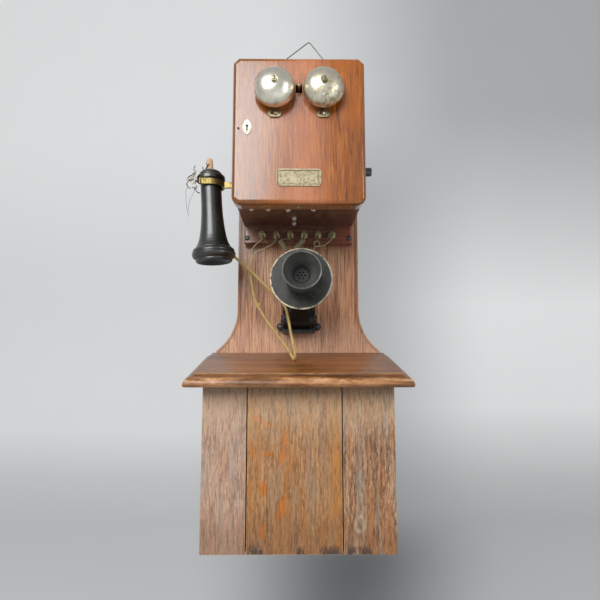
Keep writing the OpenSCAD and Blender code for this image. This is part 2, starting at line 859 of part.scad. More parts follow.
module lock_bolt() {
    color(steel)
        difference() {
            block(lock_left, lock_left + lock_w - 5, bolt_y - bolt_t / 2, bolt_y + bolt_t / 2,
                lock_z - bolt_h / 2, lock_z + bolt_h / 2);
            block(lock_x - 2, lock_x + 2, bolt_y - bolt_t, bolt_y + bolt_t, lock_z - bolt_h, lock_z - 1);
        }
}

module keyhole_plate() {
    arc_r = (keyplate_h * keyplate_h / 4 + keyplate_w * keyplate_w / 4) / keyplate_w;
    color(nickel)
        difference() {
            intersection() {
                for_arc(-1, arc_r);
                for_arc(1, arc_r);
            }
            yrod(1.9, door_y - 3, door_y + 1, lock_x, lock_z + 2);
            block(lock_x - 0.9, lock_x + 0.9, door_y - 3, door_y + 1, lock_z - 5, lock_z + 2);
        }
}

module for_arc(side, r) {
    yrod(r, door_y - 1.3, door_y, lock_x + side * (r - keyplate_w / 2), lock_z);
}

module bare_plate() {
    z = box_low_z + plate_rise;
    color(brass)
        difference() {
            face_on(0, door_y, z, 1.6)
                difference() {
                    square([plate_w, plate_h], center = true);
                    for (s = [-1, 1], t = [-1, 1])
                        translate([s * plate_w / 2, t * plate_h / 2])
                            circle(3);
                }
            face_on(0, door_y - 1, z, 2)
                square([plate_w - 9, plate_h - 5], center = true);
        }
}

// Crank shaft, gears and generator
module crank_bush() {
    color(brass)
        difference() {
            union() {
                xrod(shaft_r + 2.5, box_x - box_wall, box_x, crank_y, crank_z);
                xrod(shaft_r + 4.5, box_x, box_x + 2, crank_y, crank_z);
            }
            xrod(shaft_r + run_gap, box_x - box_wall - 1, box_x + 3, crank_y, crank_z);
        }
}

module crank_shaft() {
    hub = box_x + 2 + free_gap;
    end = box_x + hub_l;
    color(black)
        difference() {
            union() {
                xrod(shaft_r, magnet_x - 6, hub + 1, crank_y, crank_z);
                xrod(hub_r, hub, end - 1, crank_y, crank_z);
                xrod(hub_r - 0.8, end - 2, end, crank_y, crank_z);
            }
            difference() {
                xrod(hub_r + 1, end - 12, end - 10, crank_y, crank_z);
                xrod(hub_r - 1.2, end - 13, end - 9, crank_y, crank_z);
            }
        }
}

// Involute gear outline
pressure = 25;
backlash = 0.15;
function involute(a) = tan(a) - a * PI / 180;
function half_tooth(r, pitch, base) = 180 / PI * ((PI * gear_module / 2 - backlash) / (2 * pitch)
    + involute(pressure) - involute(acos(min(1, base / r))));
function gear_outline(teeth, turn) =
    let (pitch = gear_module * teeth / 2, base = pitch * cos(pressure), root = pitch - 1.15 * gear_module,
        tip = pitch + 0.9 * gear_module, mid = max(base, root + 0.3 * gear_module),
        radii = [root, mid, pitch, (pitch + tip) / 2, tip])
    [for (i = [0:teeth - 1], k = [0:9])
        let (r = radii[k < 5 ? k : 9 - k],
            a = turn + 360 * i / teeth + (k < 5 ? -1 : 1) * half_tooth(r, pitch, base))
        [r * cos(a), r * sin(a)]];

// Flat shape in Y and Z, from x0 to x1
module side_on(x0, x1, y, z) {
    translate([x0, y, z])
        rotate([90, 0, 90])
            linear_extrude(x1 - x0)
                children();
}

module drive_gear() {
    color(brass)
        difference() {
            union() {
                side_on(gear_x, gear_x + gear_w, crank_y, crank_z)
                    polygon(gear_outline(gear_teeth, -90));
                xrod(shaft_r + 4, gear_x - 3, gear_x + gear_w, crank_y, crank_z);
            }
            xrod(shaft_r, gear_x - 9, gear_x + gear_w + 9, crank_y, crank_z);
            for (k = [0:4])
                xrod(8, gear_x - 9, gear_x + gear_w + 9,
                    crank_y + 0.58 * gear_r * cos(72 * k), crank_z + 0.58 * gear_r * sin(72 * k));
        }
}

module armature() {
    core_x = magnet_x + 2;
    color(steel) {
        xrod(armature_r, core_x, magnet_x + stack_w - 2, crank_y, armature_z);
        xrod(3, magnet_x - 8, gear_x + gear_w + 3, crank_y, armature_z);
        side_on(gear_x, gear_x + gear_w, crank_y, armature_z)
            polygon(gear_outline(pinion_teeth, 90 + 180 / pinion_teeth));
    }
}

module pole_pieces() {
    color(steel)
        difference() {
            block(magnet_x, magnet_x + stack_w, crank_y - leg_y, crank_y + leg_y,
                floor_z, armature_z + armature_r + 4);
            xrod(pole_r, magnet_x - 1, magnet_x + stack_w + 1, crank_y, armature_z);
            block(magnet_x - 1, magnet_x + stack_w + 1, crank_y - 4, crank_y + 4, floor_z - 1, crank_z);
        }
}

module magnets() {
    color(black)
        for (i = [0:magnet_count - 1])
            side_on(magnet_x + i * (magnet_w + 1), magnet_x + i * (magnet_w + 1) + magnet_w, crank_y,
                crank_z)
                difference() {
                    union() {
                        circle(leg_y + magnet_t);
                        translate([-leg_y - magnet_t, floor_z - crank_z])
                            square([2 * leg_y + 2 * magnet_t, crank_z - floor_z]);
                    }
                    circle(leg_y);
                    translate([-leg_y, floor_z - crank_z - 1])
                        square([2 * leg_y, crank_z - floor_z + 1]);
                }
}

module generator_plates() {
    color(brass)
        for (x = [magnet_x - 4, plate_x])
            difference() {
                block(x, x + 3.6, crank_y - leg_y - magnet_t, crank_y + leg_y + magnet_t, floor_z,
                    crank_z + 16);
                xrod(shaft_r + run_gap, x - 1, x + 5, crank_y, crank_z);
                xrod(3 + run_gap, x - 1, x + 5, crank_y, armature_z);
            }
}

// Induction coil behind the door
module induction_coil() {
    z = box_top_z - induction_drop;
    y = board_y - induction_r - 9;
    end_t = 5;
    right = -box_x + box_wall + 10 + end_t + induction_l;
    color(black) {
        xrod(induction_r, right - induction_l, right, y, z);
        xrod(4, right - induction_l - end_t - 3, right + end_t + 3, y, z);
        for (x = [right - induction_l - end_t, right])
            block(x, x + end_t, y - induction_r - 3, board_y, z - induction_r - 2, z + induction_r + 2);
    }
}

// Switch hook
module hook_bracket() {
    wall_x = -box_x + box_wall;
    color(steel) {
        difference() {
            block(wall_x, wall_x + 2, hook_y - 12, hook_y + 12, hook_z - 14, hook_z + 14);
            hook_slot(wall_x - 1, wall_x + 3);
        }
        for (s = [-1, 1])
            block(wall_x, pivot_x + 8, hook_y + s * (hook_bar_t / 2 + 3) - 1.5,
                hook_y + s * (hook_bar_t / 2 + 3) + 1.5,
                hook_z - 8, hook_z + 8);
        yrod(3, hook_y - hook_bar_t / 2 - 6, hook_y + hook_bar_t / 2 + 6, pivot_x, hook_z);
    }
}

module hook_springs() {
    color(brass) {
        block(-50, -38, hook_y - 6, hook_y + 6, floor_z, floor_z + 18);
        for (i = [0:2])
            block(-48.4 + 4 * i, -47.8 + 4 * i, hook_y - 4, hook_y + 4, floor_z + 17, hook_z + 14);
    }
}

module hook_lever() {
    z0 = hook_z - hook_bar_h / 2;
    color(brass)
        difference() {
            union() {
                block(fork_x + fork_r + prong_t - 1, pivot_x + 8, hook_y - hook_bar_t / 2,
                    hook_y + hook_bar_t / 2,
                    z0, z0 + hook_bar_h);
                translate([0, 0, z0])
                    linear_extrude(hook_bar_h)
                        difference() {
                            union() {
                                translate([fork_x, hook_y])
                                    circle(fork_r + prong_t);
                                translate([fork_x - prong_l, hook_y - fork_r - prong_t])
                                    square([prong_l, 2 * fork_r + 2 * prong_t]);
                            }
                            translate([fork_x, hook_y])
                                circle(fork_r);
                            translate([fork_x - prong_l - fork_r, hook_y - fork_r])
                                square([prong_l + fork_r, 2 * fork_r]);
                        }
                for (s = [-1, 1])
                    zrod(prong_t / 2 + 0.8, z0, z0 + hook_bar_h, fork_x - prong_l,
                        hook_y + s * (fork_r + prong_t / 2 + 0.8));
            }
            yrod(3 + run_gap, hook_y - 9, hook_y + 9, pivot_x, hook_z);
        }
}

// Receiver, drawn about the middle of its head's underside and then leaned
module leaned() {
    translate([receiver_x, hook_y, receiver_z])
        rotate([0, -receiver_lean, 0])
            children();
}
function leaned_at(p) = [receiver_x + p[0] * cos(receiver_lean) - p[2] * sin(receiver_lean), hook_y + p[1],
    receiver_z + p[0] * sin(receiver_lean) + p[2] * cos(receiver_lean)];

shell_low = -receiver_l + ear_cap_l;
shell_out = [[neck_r, 0], [neck_r, -40], [neck_r + 0.6, -56], [neck_r + 1.9, -72], [neck_r + 3.4, -84],
    [neck_r + 4.8, -92], [shoulder_r - 5.6, shell_low + 13], [shoulder_r - 3.9, shell_low + 8],
    [shoulder_r - 1.9, shell_low + 4], [shoulder_r - 0.4, shell_low + 1.4], [shoulder_r, shell_low]];
// Seat of the diaphragm in the ear cap, above the cap's bottom
diaphragm_seat = 11;

module receiver_shell() {
    inner = [for (p = shell_out) [p[0] - receiver_wall, min(p[1], -6)]];
    color(black)
        leaned()
            rotate_extrude()
                polygon(concat(shell_out, [for (i = [len(inner) - 1:-1:0]) inner[i]], [[0, -6], [0, 0]]));
}

module ear_cap() {
    r = ear_cap_r;
    l = ear_cap_l;
    bead_r = shoulder_r + 4.7;
    color(black)
        leaned()
            translate([0, 0, -receiver_l])
                rotate_extrude()
                    polygon([[shoulder_r, l], [bead_r - 3.1, l - 0.4], [bead_r - 1.1, l - 2],
                        [bead_r, l - 4.4], [bead_r, l - 6.4], [bead_r - 0.3, l - 7], [r - 0.5, l - 8],
                        [r, l - 9.6],
                        [r - 0.4, l - 12], [r - 1.8, l - 14.4], [r - 4, l - 16.4], [r - 5.6, l - 17.6],
                        [r - 5.8, l - 18.4], [r - 5.6, 2.6], [r - 6.2, 1.2], [r - 7.5, 0], [r - 10, 0],
                        [12, 5.5], [6, 7], [6, diaphragm_seat], [shoulder_r - 4, diaphragm_seat],
                        [shoulder_r - 4, l]]);
}

module receiver_head() {
    color(black)
        leaned() {
            rotate_extrude()
                polygon(concat([[0, 0], [head_r - 1, 0], [head_r, 1], [head_r, 6], [head_r - 1.5, 8]],
                    [for (k = [0:8]) [(head_r - 4) * cos(11.25 * k), 9 + (head_h - 9) * sin(11.25 * k)]]));
            xrod(2.8, -head_r - 3, -head_r + 8, 0, 4);
        }
}

module receiver_magnet() {
    color(steel)
        leaned() {
            for (s = [-1, 1])
                block(s * 6 - 2.5, s * 6 + 2.5, -5, 5, -receiver_l + diaphragm_seat + 6, -12);
            block(-8.5, 8.5, -5, 5, -14, -6);
        }
}

module receiver_diaphragm() {
    color(steel)
        leaned()
            translate([0, 0, -receiver_l + diaphragm_seat])
                cylinder(r = shoulder_r - 5, h = 0.8);
}

// Hand-chosen route of the receiver's cord, from its split ends at the strip round to the receiver
cord_r = 2.2;
cord_route = [[-77, -47, 54], [-80, -48, 38], [-80, -49, 22], [-77, -52, 2], [-73, -56, -16],
    [-67, -60, -31], [-58, -63, -47], [-47, -66, -63], [-35, -70, -79], [-22, -76, -97], [-12, -84, -111],
    [-5, -91, -118.5], [-5, -86, -109], [-9, -80, -97], [-13, -77, -74], [-17, -76, -52], [-21, -75, -36],
    [-31, -72, -22], [-45, -69, -8], [-61, -65, 8], [-79, -60, 26], [-97, -54, 42], [-111, -51, 56],
    [-126, -51, 78], [-140, -54, 108], [-153, -60, 136]];
// The cord's end on the receiver, from where the two meet, over the head and into its terminal
cord_meet = [-17, 28, -8];
cord_dir = unit([1, 1, 10]);
cord_end_route = [[-15, 29.5, 3], [-10, 29, 13], [-4.5, 27.5, 24], [-2, 26, 36], [-2.4, 25.4, 44],
    [-4.7, 25.2, 47.2], [-7, 25.4, 44], [-7.4, 26, 36], [-10, 27, 25], [-16, 26, 17], [-25, 20, 12],
    [-32, 11, 8], [-35, 4, 5], [-33.5, 0.4, 4.1], [-head_r - 7, 0, 4]];

module receiver_cord() {
    color(brass)
        tube(concat(curve(concat(cord_route, [leaned_at(cord_meet - 4 * cord_dir)]), 3),
            [leaned_at(cord_meet - 0.25 * cord_dir)]), cord_r, 8);
}

module receiver_cord_end() {
    color(brass)
        leaned()
            tube(concat([cord_meet + 0.25 * cord_dir], curve(concat([cord_meet + 4 * cord_dir],
                cord_end_route), 4), [[-head_r - 3.1, 0, 4]]), cord_r, 8);
}

// Transmitter, drawn about the middle of its face plate's front and then tilted up
module tilted() {
    translate([mouth_x, face_y, face_z])
        rotate([-face_tilt, 0, 0])
            children();
}

module arm_base() {
    color(black)
        difference() {
            union() {
                block(arm_x - base_w / 2, arm_x + base_w / 2, board_y - base_t, board_y,
                    base_low_z, base_low_z + base_h);
                for (s = [-1, 1]) {
                    yrod(ear_r, board_y - base_t, board_y, arm_x + s * ear_x, ear_z);
                    xrod(barrel_r + 2, arm_x + s * (cheek_x + cheek_t / 2) - cheek_t / 2,
                        arm_x + s * (cheek_x + cheek_t / 2) + cheek_t / 2, pivot_y, pivot_z);
                    block(arm_x + s * (cheek_x + cheek_t / 2) - cheek_t / 2,
                        arm_x + s * (cheek_x + cheek_t / 2) + cheek_t / 2, pivot_y, board_y - 1,
                        base_low_z, pivot_z + barrel_r + 2);
                }
                block(arm_x - cheek_x - 1, arm_x + cheek_x + 1, pivot_y, board_y - 1, base_low_z,
                    base_low_z + 5);
            }
            xrod(pivot_pin_r, arm_x - far, arm_x + far, pivot_y, pivot_z);
            screw_holes();
        }
}

module arm_pin() {
    half = cheek_x + cheek_t;
    color(steel) {
        xrod(pivot_pin_r, arm_x - half, arm_x + half, pivot_y, pivot_z);
        for (s = [-1, 1])
            xrod(pivot_pin_r + 2.5, arm_x + s * (half + 2) - 2, arm_x + s * (half + 2) + 2, pivot_y,
                pivot_z);
    }
}

module transmitter_arm() {
    half = barrel_w / 2;
    color(black)
        difference() {
            union() {
                xrod(barrel_r, arm_x - half, arm_x + half, pivot_y, pivot_z);
                hull() {
                    xrod(barrel_r - 1, arm_x - half + 1, arm_x + half - 1, pivot_y, pivot_z);
                    tilted()
                        yrod(13, face_t + cup_d, face_t + cup_d + 5, 0, -2);
                }
            }
            xrod(pivot_pin_r + run_gap, arm_x - half - 1, arm_x + half + 1, pivot_y, pivot_z);
        }
}

module transmitter_cup() {
    back = face_t + cup_d;
    out = concat([[cup_r, -face_t], [cup_r, -face_t - 9]],
        [for (k = [1:8]) [16 + (cup_r - 16) * cos(11.25 * k), -face_t - 9 - (cup_d - 9) * sin(11.25 * k)]],
        [[0, -back]]);
    in_r = cup_r - cup_wall;
    inside = concat([[0, -back + cup_wall], [16, -back + cup_wall]],
        [for (k = [7:-1:0]) [16 + (in_r - 16) * cos(11.25 * k),
            -face_t - 9 - (cup_d - 9 - cup_wall) * sin(11.25 * k)]],
        [[in_r, -face_t]]);
    color(black)
        tilted()
            rotate([90, 0, 0])
                rotate_extrude()
                    polygon(concat(out, inside));
}

module face_plate() {
    r = face_r;
    color(black)
        tilted()
            turned(0, 0, 0, [[11.3, -face_t], [r - 2, -face_t], [r, -face_t + 1], [r, -0.8], [r - 1.2, 0.2],
                [r - 3, 0], [collar_r + 2, 0], [11.3, 0]]);
}

module diaphragm() {
    color(steel)
        tilted()
            yrod(cup_r - cup_wall - 1, face_t, face_t + 0.8, 0, 0);
}

module carbon_button() {
    color(brass)
        tilted() {
            yrod(11, face_t + 0.8, face_t + 14, 0, 0);
            yrod(4, face_t + 14, face_t + cup_d - cup_wall, 0, 0);
        }
}

// Mouthpiece: collar, waist and flared bell, with a pierced plate in its throat
module mouthpiece() {
    l = mouth_l;
    r = mouth_r;
    c = collar_r;
    color(black)
        tilted()
            difference() {
                turned(0, 0, 0, [[9, -face_t], [11, -face_t], [11, 0], [c, 0], [c, 3], [c - 0.8, 5.5],
                    [c - 2.6, 7.6], [c - 5, 9], [c - 7, 12], [c - 7.6, 16], [c - 7, 21], [c - 5, 28],
                    [c - 2, 36], [r - 1.4, l - 5], [r, l - 2], [r - 0.4, l - 0.4], [r - 1.2, l],
                    [r - 2.4, l - 1], [r - 4.6, l - 7], [c - 4.6, 34], [c - 8.8, 25], [12, 19.5], [10, 17],
                    [0, 16], [0, 13], [9, 13]]);
                for (k = [0:5])
                    yrod(1.3, -18, -11, 5.4 * cos(60 * k), 5.4 * sin(60 * k));
                yrod(1.3, -18, -11, 0, 0);
            }
}

// Terminal strip, binding posts and their leads
module terminal_strip() {
    color(oak)
        difference() {
            translate([0, board_y, strip_low_z])
                linear_extrude(strip_h)
                    round_front(strip_w, strip_t, 4);
            screw_holes();
        }
}

module binding_posts() {
    l = post_l;
    n = post_nut_r;
    f = post_foot_r;
    color(nickel)
        for (x = post_x)
            turned(x, strip_y, post_z, [[0, 0], [f, 0], [f, 1.2], [f - 1, 2], [post_neck_r, 2],
                [post_neck_r, 2 + groove_w], [n, 2 + groove_w], [n, 7], [n - 1.6, 8], [2.8, 8.4], [2.8, 9.6],
                [n - 0.6, 10.2], [n, 11], [n, l - 2.6], [n - 1, l - 1.6], [2.2, l - 1.6], [2.2, l - 0.3],
                [1.9, l], [0, l]]);
}

// Lead wire: out of a post's groove, round a coil and down to the arm's base
lead_r = 0.7;
coil_r = 4;
coil_pitch = 2.6;
coil_turns = 7;
function coil_path(a, b) =
    let (d = unit(b - a), u = side_of(d), v = cross(d, u), n = 8 * coil_turns)
    [for (k = [0:n]) a + d * coil_pitch * k / 8 + coil_r * (cos(45 * k) * u + sin(45 * k) * v)];
lead_top_y = strip_y - 2 - groove_w / 2;
function lead_start(x) = [x, lead_top_y, post_z - post_neck_r - 0.1];
function lead_turn(x) = [x, lead_top_y, post_z - post_foot_r - 1];
lead_low = [arm_x, board_y - base_t / 2, base_low_z + base_h];
lead_top = post_z - 27;
function lead_z(f) = lead_low[2] + 12 + f * (lead_top - lead_low[2] - 12);
function lead_path(x, a, b, way, side) = concat([lead_start(x), lead_turn(x)], coil_path(a, b),
    curve(concat(way, [lead_low + [side, 0, 12], lead_low + [side, 0, 0.2]]), 3));
lead_a = lead_path(post_x[2], [-31, lead_top_y - 3, post_z - 11], [-19, lead_top_y, post_z - 29],
    [[-18, -43, lead_z(0.97)], [-14, -38, lead_z(0.72)], [-10, -32, lead_z(0.39)]], -8);
lead_b = lead_path(post_x[3], [post_x[3] - 1, lead_top_y - 3, post_z - 10.5],
    [post_x[3] - 15, lead_top_y, post_z - 23.5],
    [[-3, -43, lead_z(0.97)], [0, -38, lead_z(0.69)], [1, -32, lead_z(0.39)]], 0);
// The third lead: from the last post to one open loop, then down behind the transmitter
loop_r = 5;
loop_at = [post_x[4] - 2, lead_top_y, post_z - 16.5];
function loop_point(k) = loop_at + [loop_r * sin(-30 * k), k / 4 - 4, -loop_r * cos(30 * k)];
lead_c = concat([lead_start(post_x[5])], curve(concat([lead_turn(post_x[5]),
    [post_x[5] - 10, lead_top_y - 3, post_z - 17.5], [post_x[5] - 18, lead_top_y - 4, post_z - 21]],
    [for (k = [0:13]) loop_point(k)], [[25, -44, lead_z(1)], [18, -38, lead_z(0.72)],
    [11, -32, lead_z(0.39)], lead_low + [8, 0, 12], lead_low + [8, 0, 0.2]]), 3));
// Split ends of the receiver's cord, from the two left posts to the cord's braid
function tip_z(f) = cord_route[0][2] + f * (post_z - cord_route[0][2]);
tip_a = concat([lead_start(post_x[0])], curve([lead_turn(post_x[0]), [-67, -48, tip_z(0.65)],
    [-76, -49, tip_z(0.4)], [-79, -48, tip_z(0.19)], [-78.2, -47, tip_z(0.02)]], 4));
tip_b = concat([lead_start(post_x[1])], curve([lead_turn(post_x[1]), [-42, -48, tip_z(0.59)],
    [-56, -50, tip_z(0.35)], [-69, -49, tip_z(0.22)], [-75.4, -47.5, tip_z(0.11)],
    [-75.8, -47, tip_z(0.02)]], 4));

// Least gap between a coil's neighbouring turns
coil_gap = norm(lead_a[2] - lead_a[10]) - 2 * lead_r;
echo(least_gap_between_turns = coil_gap);

module terminal_leads() {
    color(brass) {
        for (p = [lead_a, lead_b, lead_c])
            tube(p, lead_r, 6);
        for (p = [tip_a, tip_b])
            tube(p, lead_r, 6);
    }
}

module underside_terminals() {
    color(nickel)
        for (p = underside_at)
            translate([p[0], box_y + p[1], box_low_z])
                rotate([180, 0, 0])
                    rotate_extrude()
                        polygon([[0, 0], [4.5, 0], [4.5, 1], [3.2, 1], [3.2, 2.4], [2.2, 3.6], [0, 4]]);
}

// Shelf and battery box
module moulded_edge() {
    m = moulding_w;
    t = shelf_t;
    polygon(concat([[-m - 2 * far, 0], [-m, 0], [-m, -3], [-m + 1.5, -4]],
        [for (k = [0:6]) [-m + 1.5 + (m - 1.5) * sin(15 * k), -4 - (t - 8) * (1 - cos(15 * k))]],
        [[0, -t + 3], [-1, -t + 1], [-3, -t], [-m - 2 * far, -t]]));
}

module sloped() {
    translate([0, board_y, shelf_z])
        rotate([shelf_slope, 0, 0])
            children();
}

module writing_shelf() {
    color(oak)
        intersection() {
            sloped()
                intersection() {
                    translate([far, -shelf_l, 0])
                        rotate([90, 0, -90])
                            linear_extrude(2 * far)
                                moulded_edge();
                    translate([shelf_w / 2, far, 0])
                        rotate([90, 0, 0])
                            linear_extrude(2 * far)
                                moulded_edge();
                    translate([-shelf_w / 2, -far, 0])
                        rotate([90, 0, 180])
                            linear_extrude(2 * far)
                                moulded_edge();
                }
            block(-far, far, -far, board_y, -far, far);
        }
}

module under_shelf() {
    difference() {
        children();
        sloped()
            block(-far, far, -far, far, -shelf_t, far);
    }
}

module battery_sides() {
    color(pale_oak)
        under_shelf()
            for (s = [-1, 1])
                difference() {
                    block(s * (battery_x - battery_wall / 2) - battery_wall / 2,
                        s * (battery_x - battery_wall / 2) + battery_wall / 2, front_back, board_y,
                            bottom_z, shelf_z + 40);
                    for (z = dowel_z)
                        yrod(dowel_r, front_back - 1, front_back + dowel_in,
                            s * (battery_x - battery_wall / 2), z);
                }
}

module battery_bottom() {
    color(pale_oak)
        block(-battery_x + battery_wall, battery_x - battery_wall, front_back, board_y, bottom_z,
            bottom_z + battery_wall);
}

module front_dowels() {
    color(pale_oak)
        for (s = [-1, 1], z = dowel_z)
            yrod(dowel_r, front_back - dowel_out, front_back + dowel_in,
                s * (battery_x - battery_wall / 2), z);
}

module front_boards() {
    cuts = [-battery_x, -battery_x + front_left_w, battery_x - front_right_w, battery_x];
    color(pale_oak)
        difference() {
            for (i = [0:2])
                block(cuts[i] + (i > 0 ? front_seam / 2 : 0), cuts[i + 1] - (i < 2 ? front_seam / 2 : 0),
                    front_y, front_back, bottom_z, front_top);
            for (s = [-1, 1], z = dowel_z)
                yrod(dowel_r + run_gap, front_back - dowel_out - 1, front_back + 1,
                    s * (battery_x - battery_wall / 2), z);
        }
}

module front_battens() {
    half = battery_x - battery_wall - 4;
    color(pale_oak)
        for (z = batten_z)
            block(-half, half, front_back, front_back + batten_t, z - batten_h / 2, z + batten_h / 2);
}

module dry_cells() {
    z = bottom_z + battery_wall;
    color(steel)
        for (i = [-1:1])
            translate([i * cell_spacing, cell_y, z]) {
                cylinder(r = cell_r, h = cell_h);
                zrod(8, cell_h - 1, cell_h + 8, 0, 0);
                zrod(2.5, cell_h, cell_h + 18, 0, 0);
                zrod(2.5, cell_h - 1, cell_h + 12, 0, -cell_r + 6);
            }
}

backboard();
box_left_side();
box_right_side();
box_top();
box_bottom();
terminal_strip();
wood_screws();
binding_posts();
terminal_leads();
underside_terminals();
writing_shelf();
battery_sides();
battery_bottom();
front_dowels();
dry_cells();
induction_coil();
hook_bracket();
hook_springs();
magnets();
pole_pieces();
generator_plates();
crank_bush();
arm_base();
arm_pin();
hinge_box_leaves();
hinge_pins();
hanging_wire();
receiver_cord();
door_panel();
gongs();
gong_stands();
gong_screws();
bare_plate();
keyhole_plate();
lock_case();
ringer_frame();
ringer_coils();
ringer_magnet();
hinge_door_leaves();
striker();
lock_bolt();
transmitter_arm();
transmitter_cup();
face_plate();
diaphragm();
carbon_button();
mouthpiece();
receiver_shell();
ear_cap();
receiver_head();
receiver_magnet();
receiver_diaphragm();
receiver_cord_end();
hook_lever();
crank_shaft();
drive_gear();
armature();
front_boards();
front_battens();
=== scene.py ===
import math
import random

import bmesh
import bpy
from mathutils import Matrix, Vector


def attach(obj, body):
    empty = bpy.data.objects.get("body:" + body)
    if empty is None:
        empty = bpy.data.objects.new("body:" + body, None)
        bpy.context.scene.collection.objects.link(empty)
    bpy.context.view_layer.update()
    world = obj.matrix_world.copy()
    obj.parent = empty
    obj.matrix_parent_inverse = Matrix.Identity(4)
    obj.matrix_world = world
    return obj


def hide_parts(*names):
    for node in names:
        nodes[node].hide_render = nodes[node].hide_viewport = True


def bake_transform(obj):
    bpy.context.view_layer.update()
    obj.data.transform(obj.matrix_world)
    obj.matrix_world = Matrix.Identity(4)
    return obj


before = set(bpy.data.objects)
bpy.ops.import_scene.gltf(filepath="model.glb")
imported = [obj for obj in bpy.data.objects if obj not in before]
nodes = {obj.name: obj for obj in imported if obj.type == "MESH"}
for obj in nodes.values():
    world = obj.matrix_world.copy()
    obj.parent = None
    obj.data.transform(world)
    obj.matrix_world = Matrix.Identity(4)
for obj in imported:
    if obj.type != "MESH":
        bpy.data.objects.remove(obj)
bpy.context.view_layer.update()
scene = bpy.context.scene
scene.view_settings.view_transform = "Standard"
MM = 0.001


# Camera, solved from the photograph's straight edges

EYE = (-0.00505, -0.8433, -0.111)
EYE_UP, EYE_TURN = 0.1124, -0.01
SENSOR, LENS = 36.0, 28.65


def make_camera():
    data = bpy.data.cameras.new("camera")
    data.sensor_fit = "HORIZONTAL"
    data.sensor_width = SENSOR
    data.lens = LENS
    data.clip_start = 0.01
    camera = bpy.data.objects.new("camera", data)
    scene.collection.objects.link(camera)
    camera.location = EYE
    camera.rotation_euler = (math.pi / 2 + EYE_UP, 0, EYE_TURN)
    scene.camera = camera


make_camera()


# Mesh helpers

def add_object(name, mesh, smooth=True):
    obj = bpy.data.objects.new(name, mesh)
    scene.collection.objects.link(obj)
    for face in mesh.polygons:
        face.use_smooth = smooth
    return obj


def finish_mesh(name, bm, smooth=True):
    bmesh.ops.recalc_face_normals(bm, faces=bm.faces)
    mesh = bpy.data.meshes.new(name)
    bm.to_mesh(mesh)
    bm.free()
    return add_object(name, mesh, smooth)


def curve_points(points, steps):
    """Smooth line through the points, in the same form as the part's own routes."""
    out = []
    for i in range(len(points) - 1):
        a, b = points[max(i - 1, 0)], points[i]
        c, d = points[i + 1], points[min(i + 2, len(points) - 1)]
        for k in range(steps):
            u = k / steps
            out.append(0.5 * (2 * b + (c - a) * u + (2 * a - 5 * b + 4 * c - d) * u * u
                              + (3 * b - a - 3 * c + d) * u * u * u))
    return out + [points[-1]]


def even_points(line, step):
    """The line cut into pieces of about the same length."""
    lengths = [0.0]
    for a, b in zip(line, line[1:]):
        lengths.append(lengths[-1] + (b - a).length)
    count = max(2, round(lengths[-1] / step))
    out, i = [], 0
    for k in range(count + 1):
        at = lengths[-1] * k / count
        while i < len(line) - 2 and lengths[i + 1] < at:
            i += 1
        share = (at - lengths[i]) / max(lengths[i + 1] - lengths[i], 1e-9)
        out.append(line[i].lerp(line[i + 1], min(1.0, share)))
    return out


def eased(line, passes):
    """The line with its kinks taken out and its ends kept."""
    for _ in range(passes):
        inner = [(a + 2 * b + c) / 4 for a, b, c in zip(line, line[1:], line[2:])]
        line = [line[0]] + inner + [line[-1]]
    return line


def path_frames(line):
    """A tangent and two normals at each point, carried along with no twist."""
    frames, normal = [], None
    for i in range(len(line)):
        t = (line[min(i + 1, len(line) - 1)] - line[max(i - 1, 0)]).normalized()
        if normal is None:
            normal = t.orthogonal()
        normal = (normal - t * normal.dot(t)).normalized()
        frames.append((t, normal, t.cross(normal)))
    return frames


def sweep(bm, line, radius, sides, uv=None):
    """Closed tube along the line; radius is a number or a function of length and angle."""
    at, rings, lengths = 0.0, [], []
    for i, (p, (t, n, b)) in enumerate(zip(line, path_frames(line))):
        if i:
            at += (p - line[i - 1]).length
        lengths.append(at)
        ring = []
        for k in range(sides):
            angle = 2 * math.pi * k / sides
            r = radius(at, angle) if callable(radius) else radius
            ring.append(bm.verts.new(p + (n * math.cos(angle) + b * math.sin(angle)) * r))
        rings.append(ring)
    for i in range(len(rings) - 1):
        for k in range(sides):
            m = (k + 1) % sides
            face = bm.faces.new((rings[i][k], rings[i][m], rings[i + 1][m], rings[i + 1][k]))
            if uv:
                ends = ((k, i), (k + 1, i), (k + 1, i + 1), (k, i + 1))
                for loop, (u, v) in zip(face.loops, ends):
                    loop[uv].uv = (u / sides, lengths[v] * 100)
    bm.faces.new(rings[0][::-1])
    bm.faces.new(rings[-1])


def tube_object(name, lines, radius, sides):
    """One object with a tube along each line, and the way along it in its UV map."""
    bm = bmesh.new()
    uv = bm.loops.layers.uv.new("along")
    for line in lines:
        sweep(bm, line, radius, sides, uv)
    return finish_mesh(name, bm)


def lathe(bm, profile, place, sides):
    """Solid turned from (radius, height) pairs, from axis to axis; place maps a point."""
    rings = []
    for r, h in profile:
        if r < 1e-9:
            rings.append([bm.verts.new(place(0.0, 0.0, h))])
        else:
            rings.append([bm.verts.new(place(r * math.cos(2 * math.pi * k / sides),
                                             r * math.sin(2 * math.pi * k / sides), h))
                          for k in range(sides)])
    for a, b in zip(rings, rings[1:]):
        for k in range(sides):
            m = (k + 1) % sides
            if len(a) == 1:
                bm.faces.new((a[0], b[k], b[m]))
            elif len(b) == 1:
                bm.faces.new((a[k], b[0], a[m]))
            else:
                bm.faces.new((a[k], a[m], b[m], b[k]))


def mm(*points):
    return [Vector(p) * MM for p in points]


# Receiver's cord and the thin leads, along the part's own routes

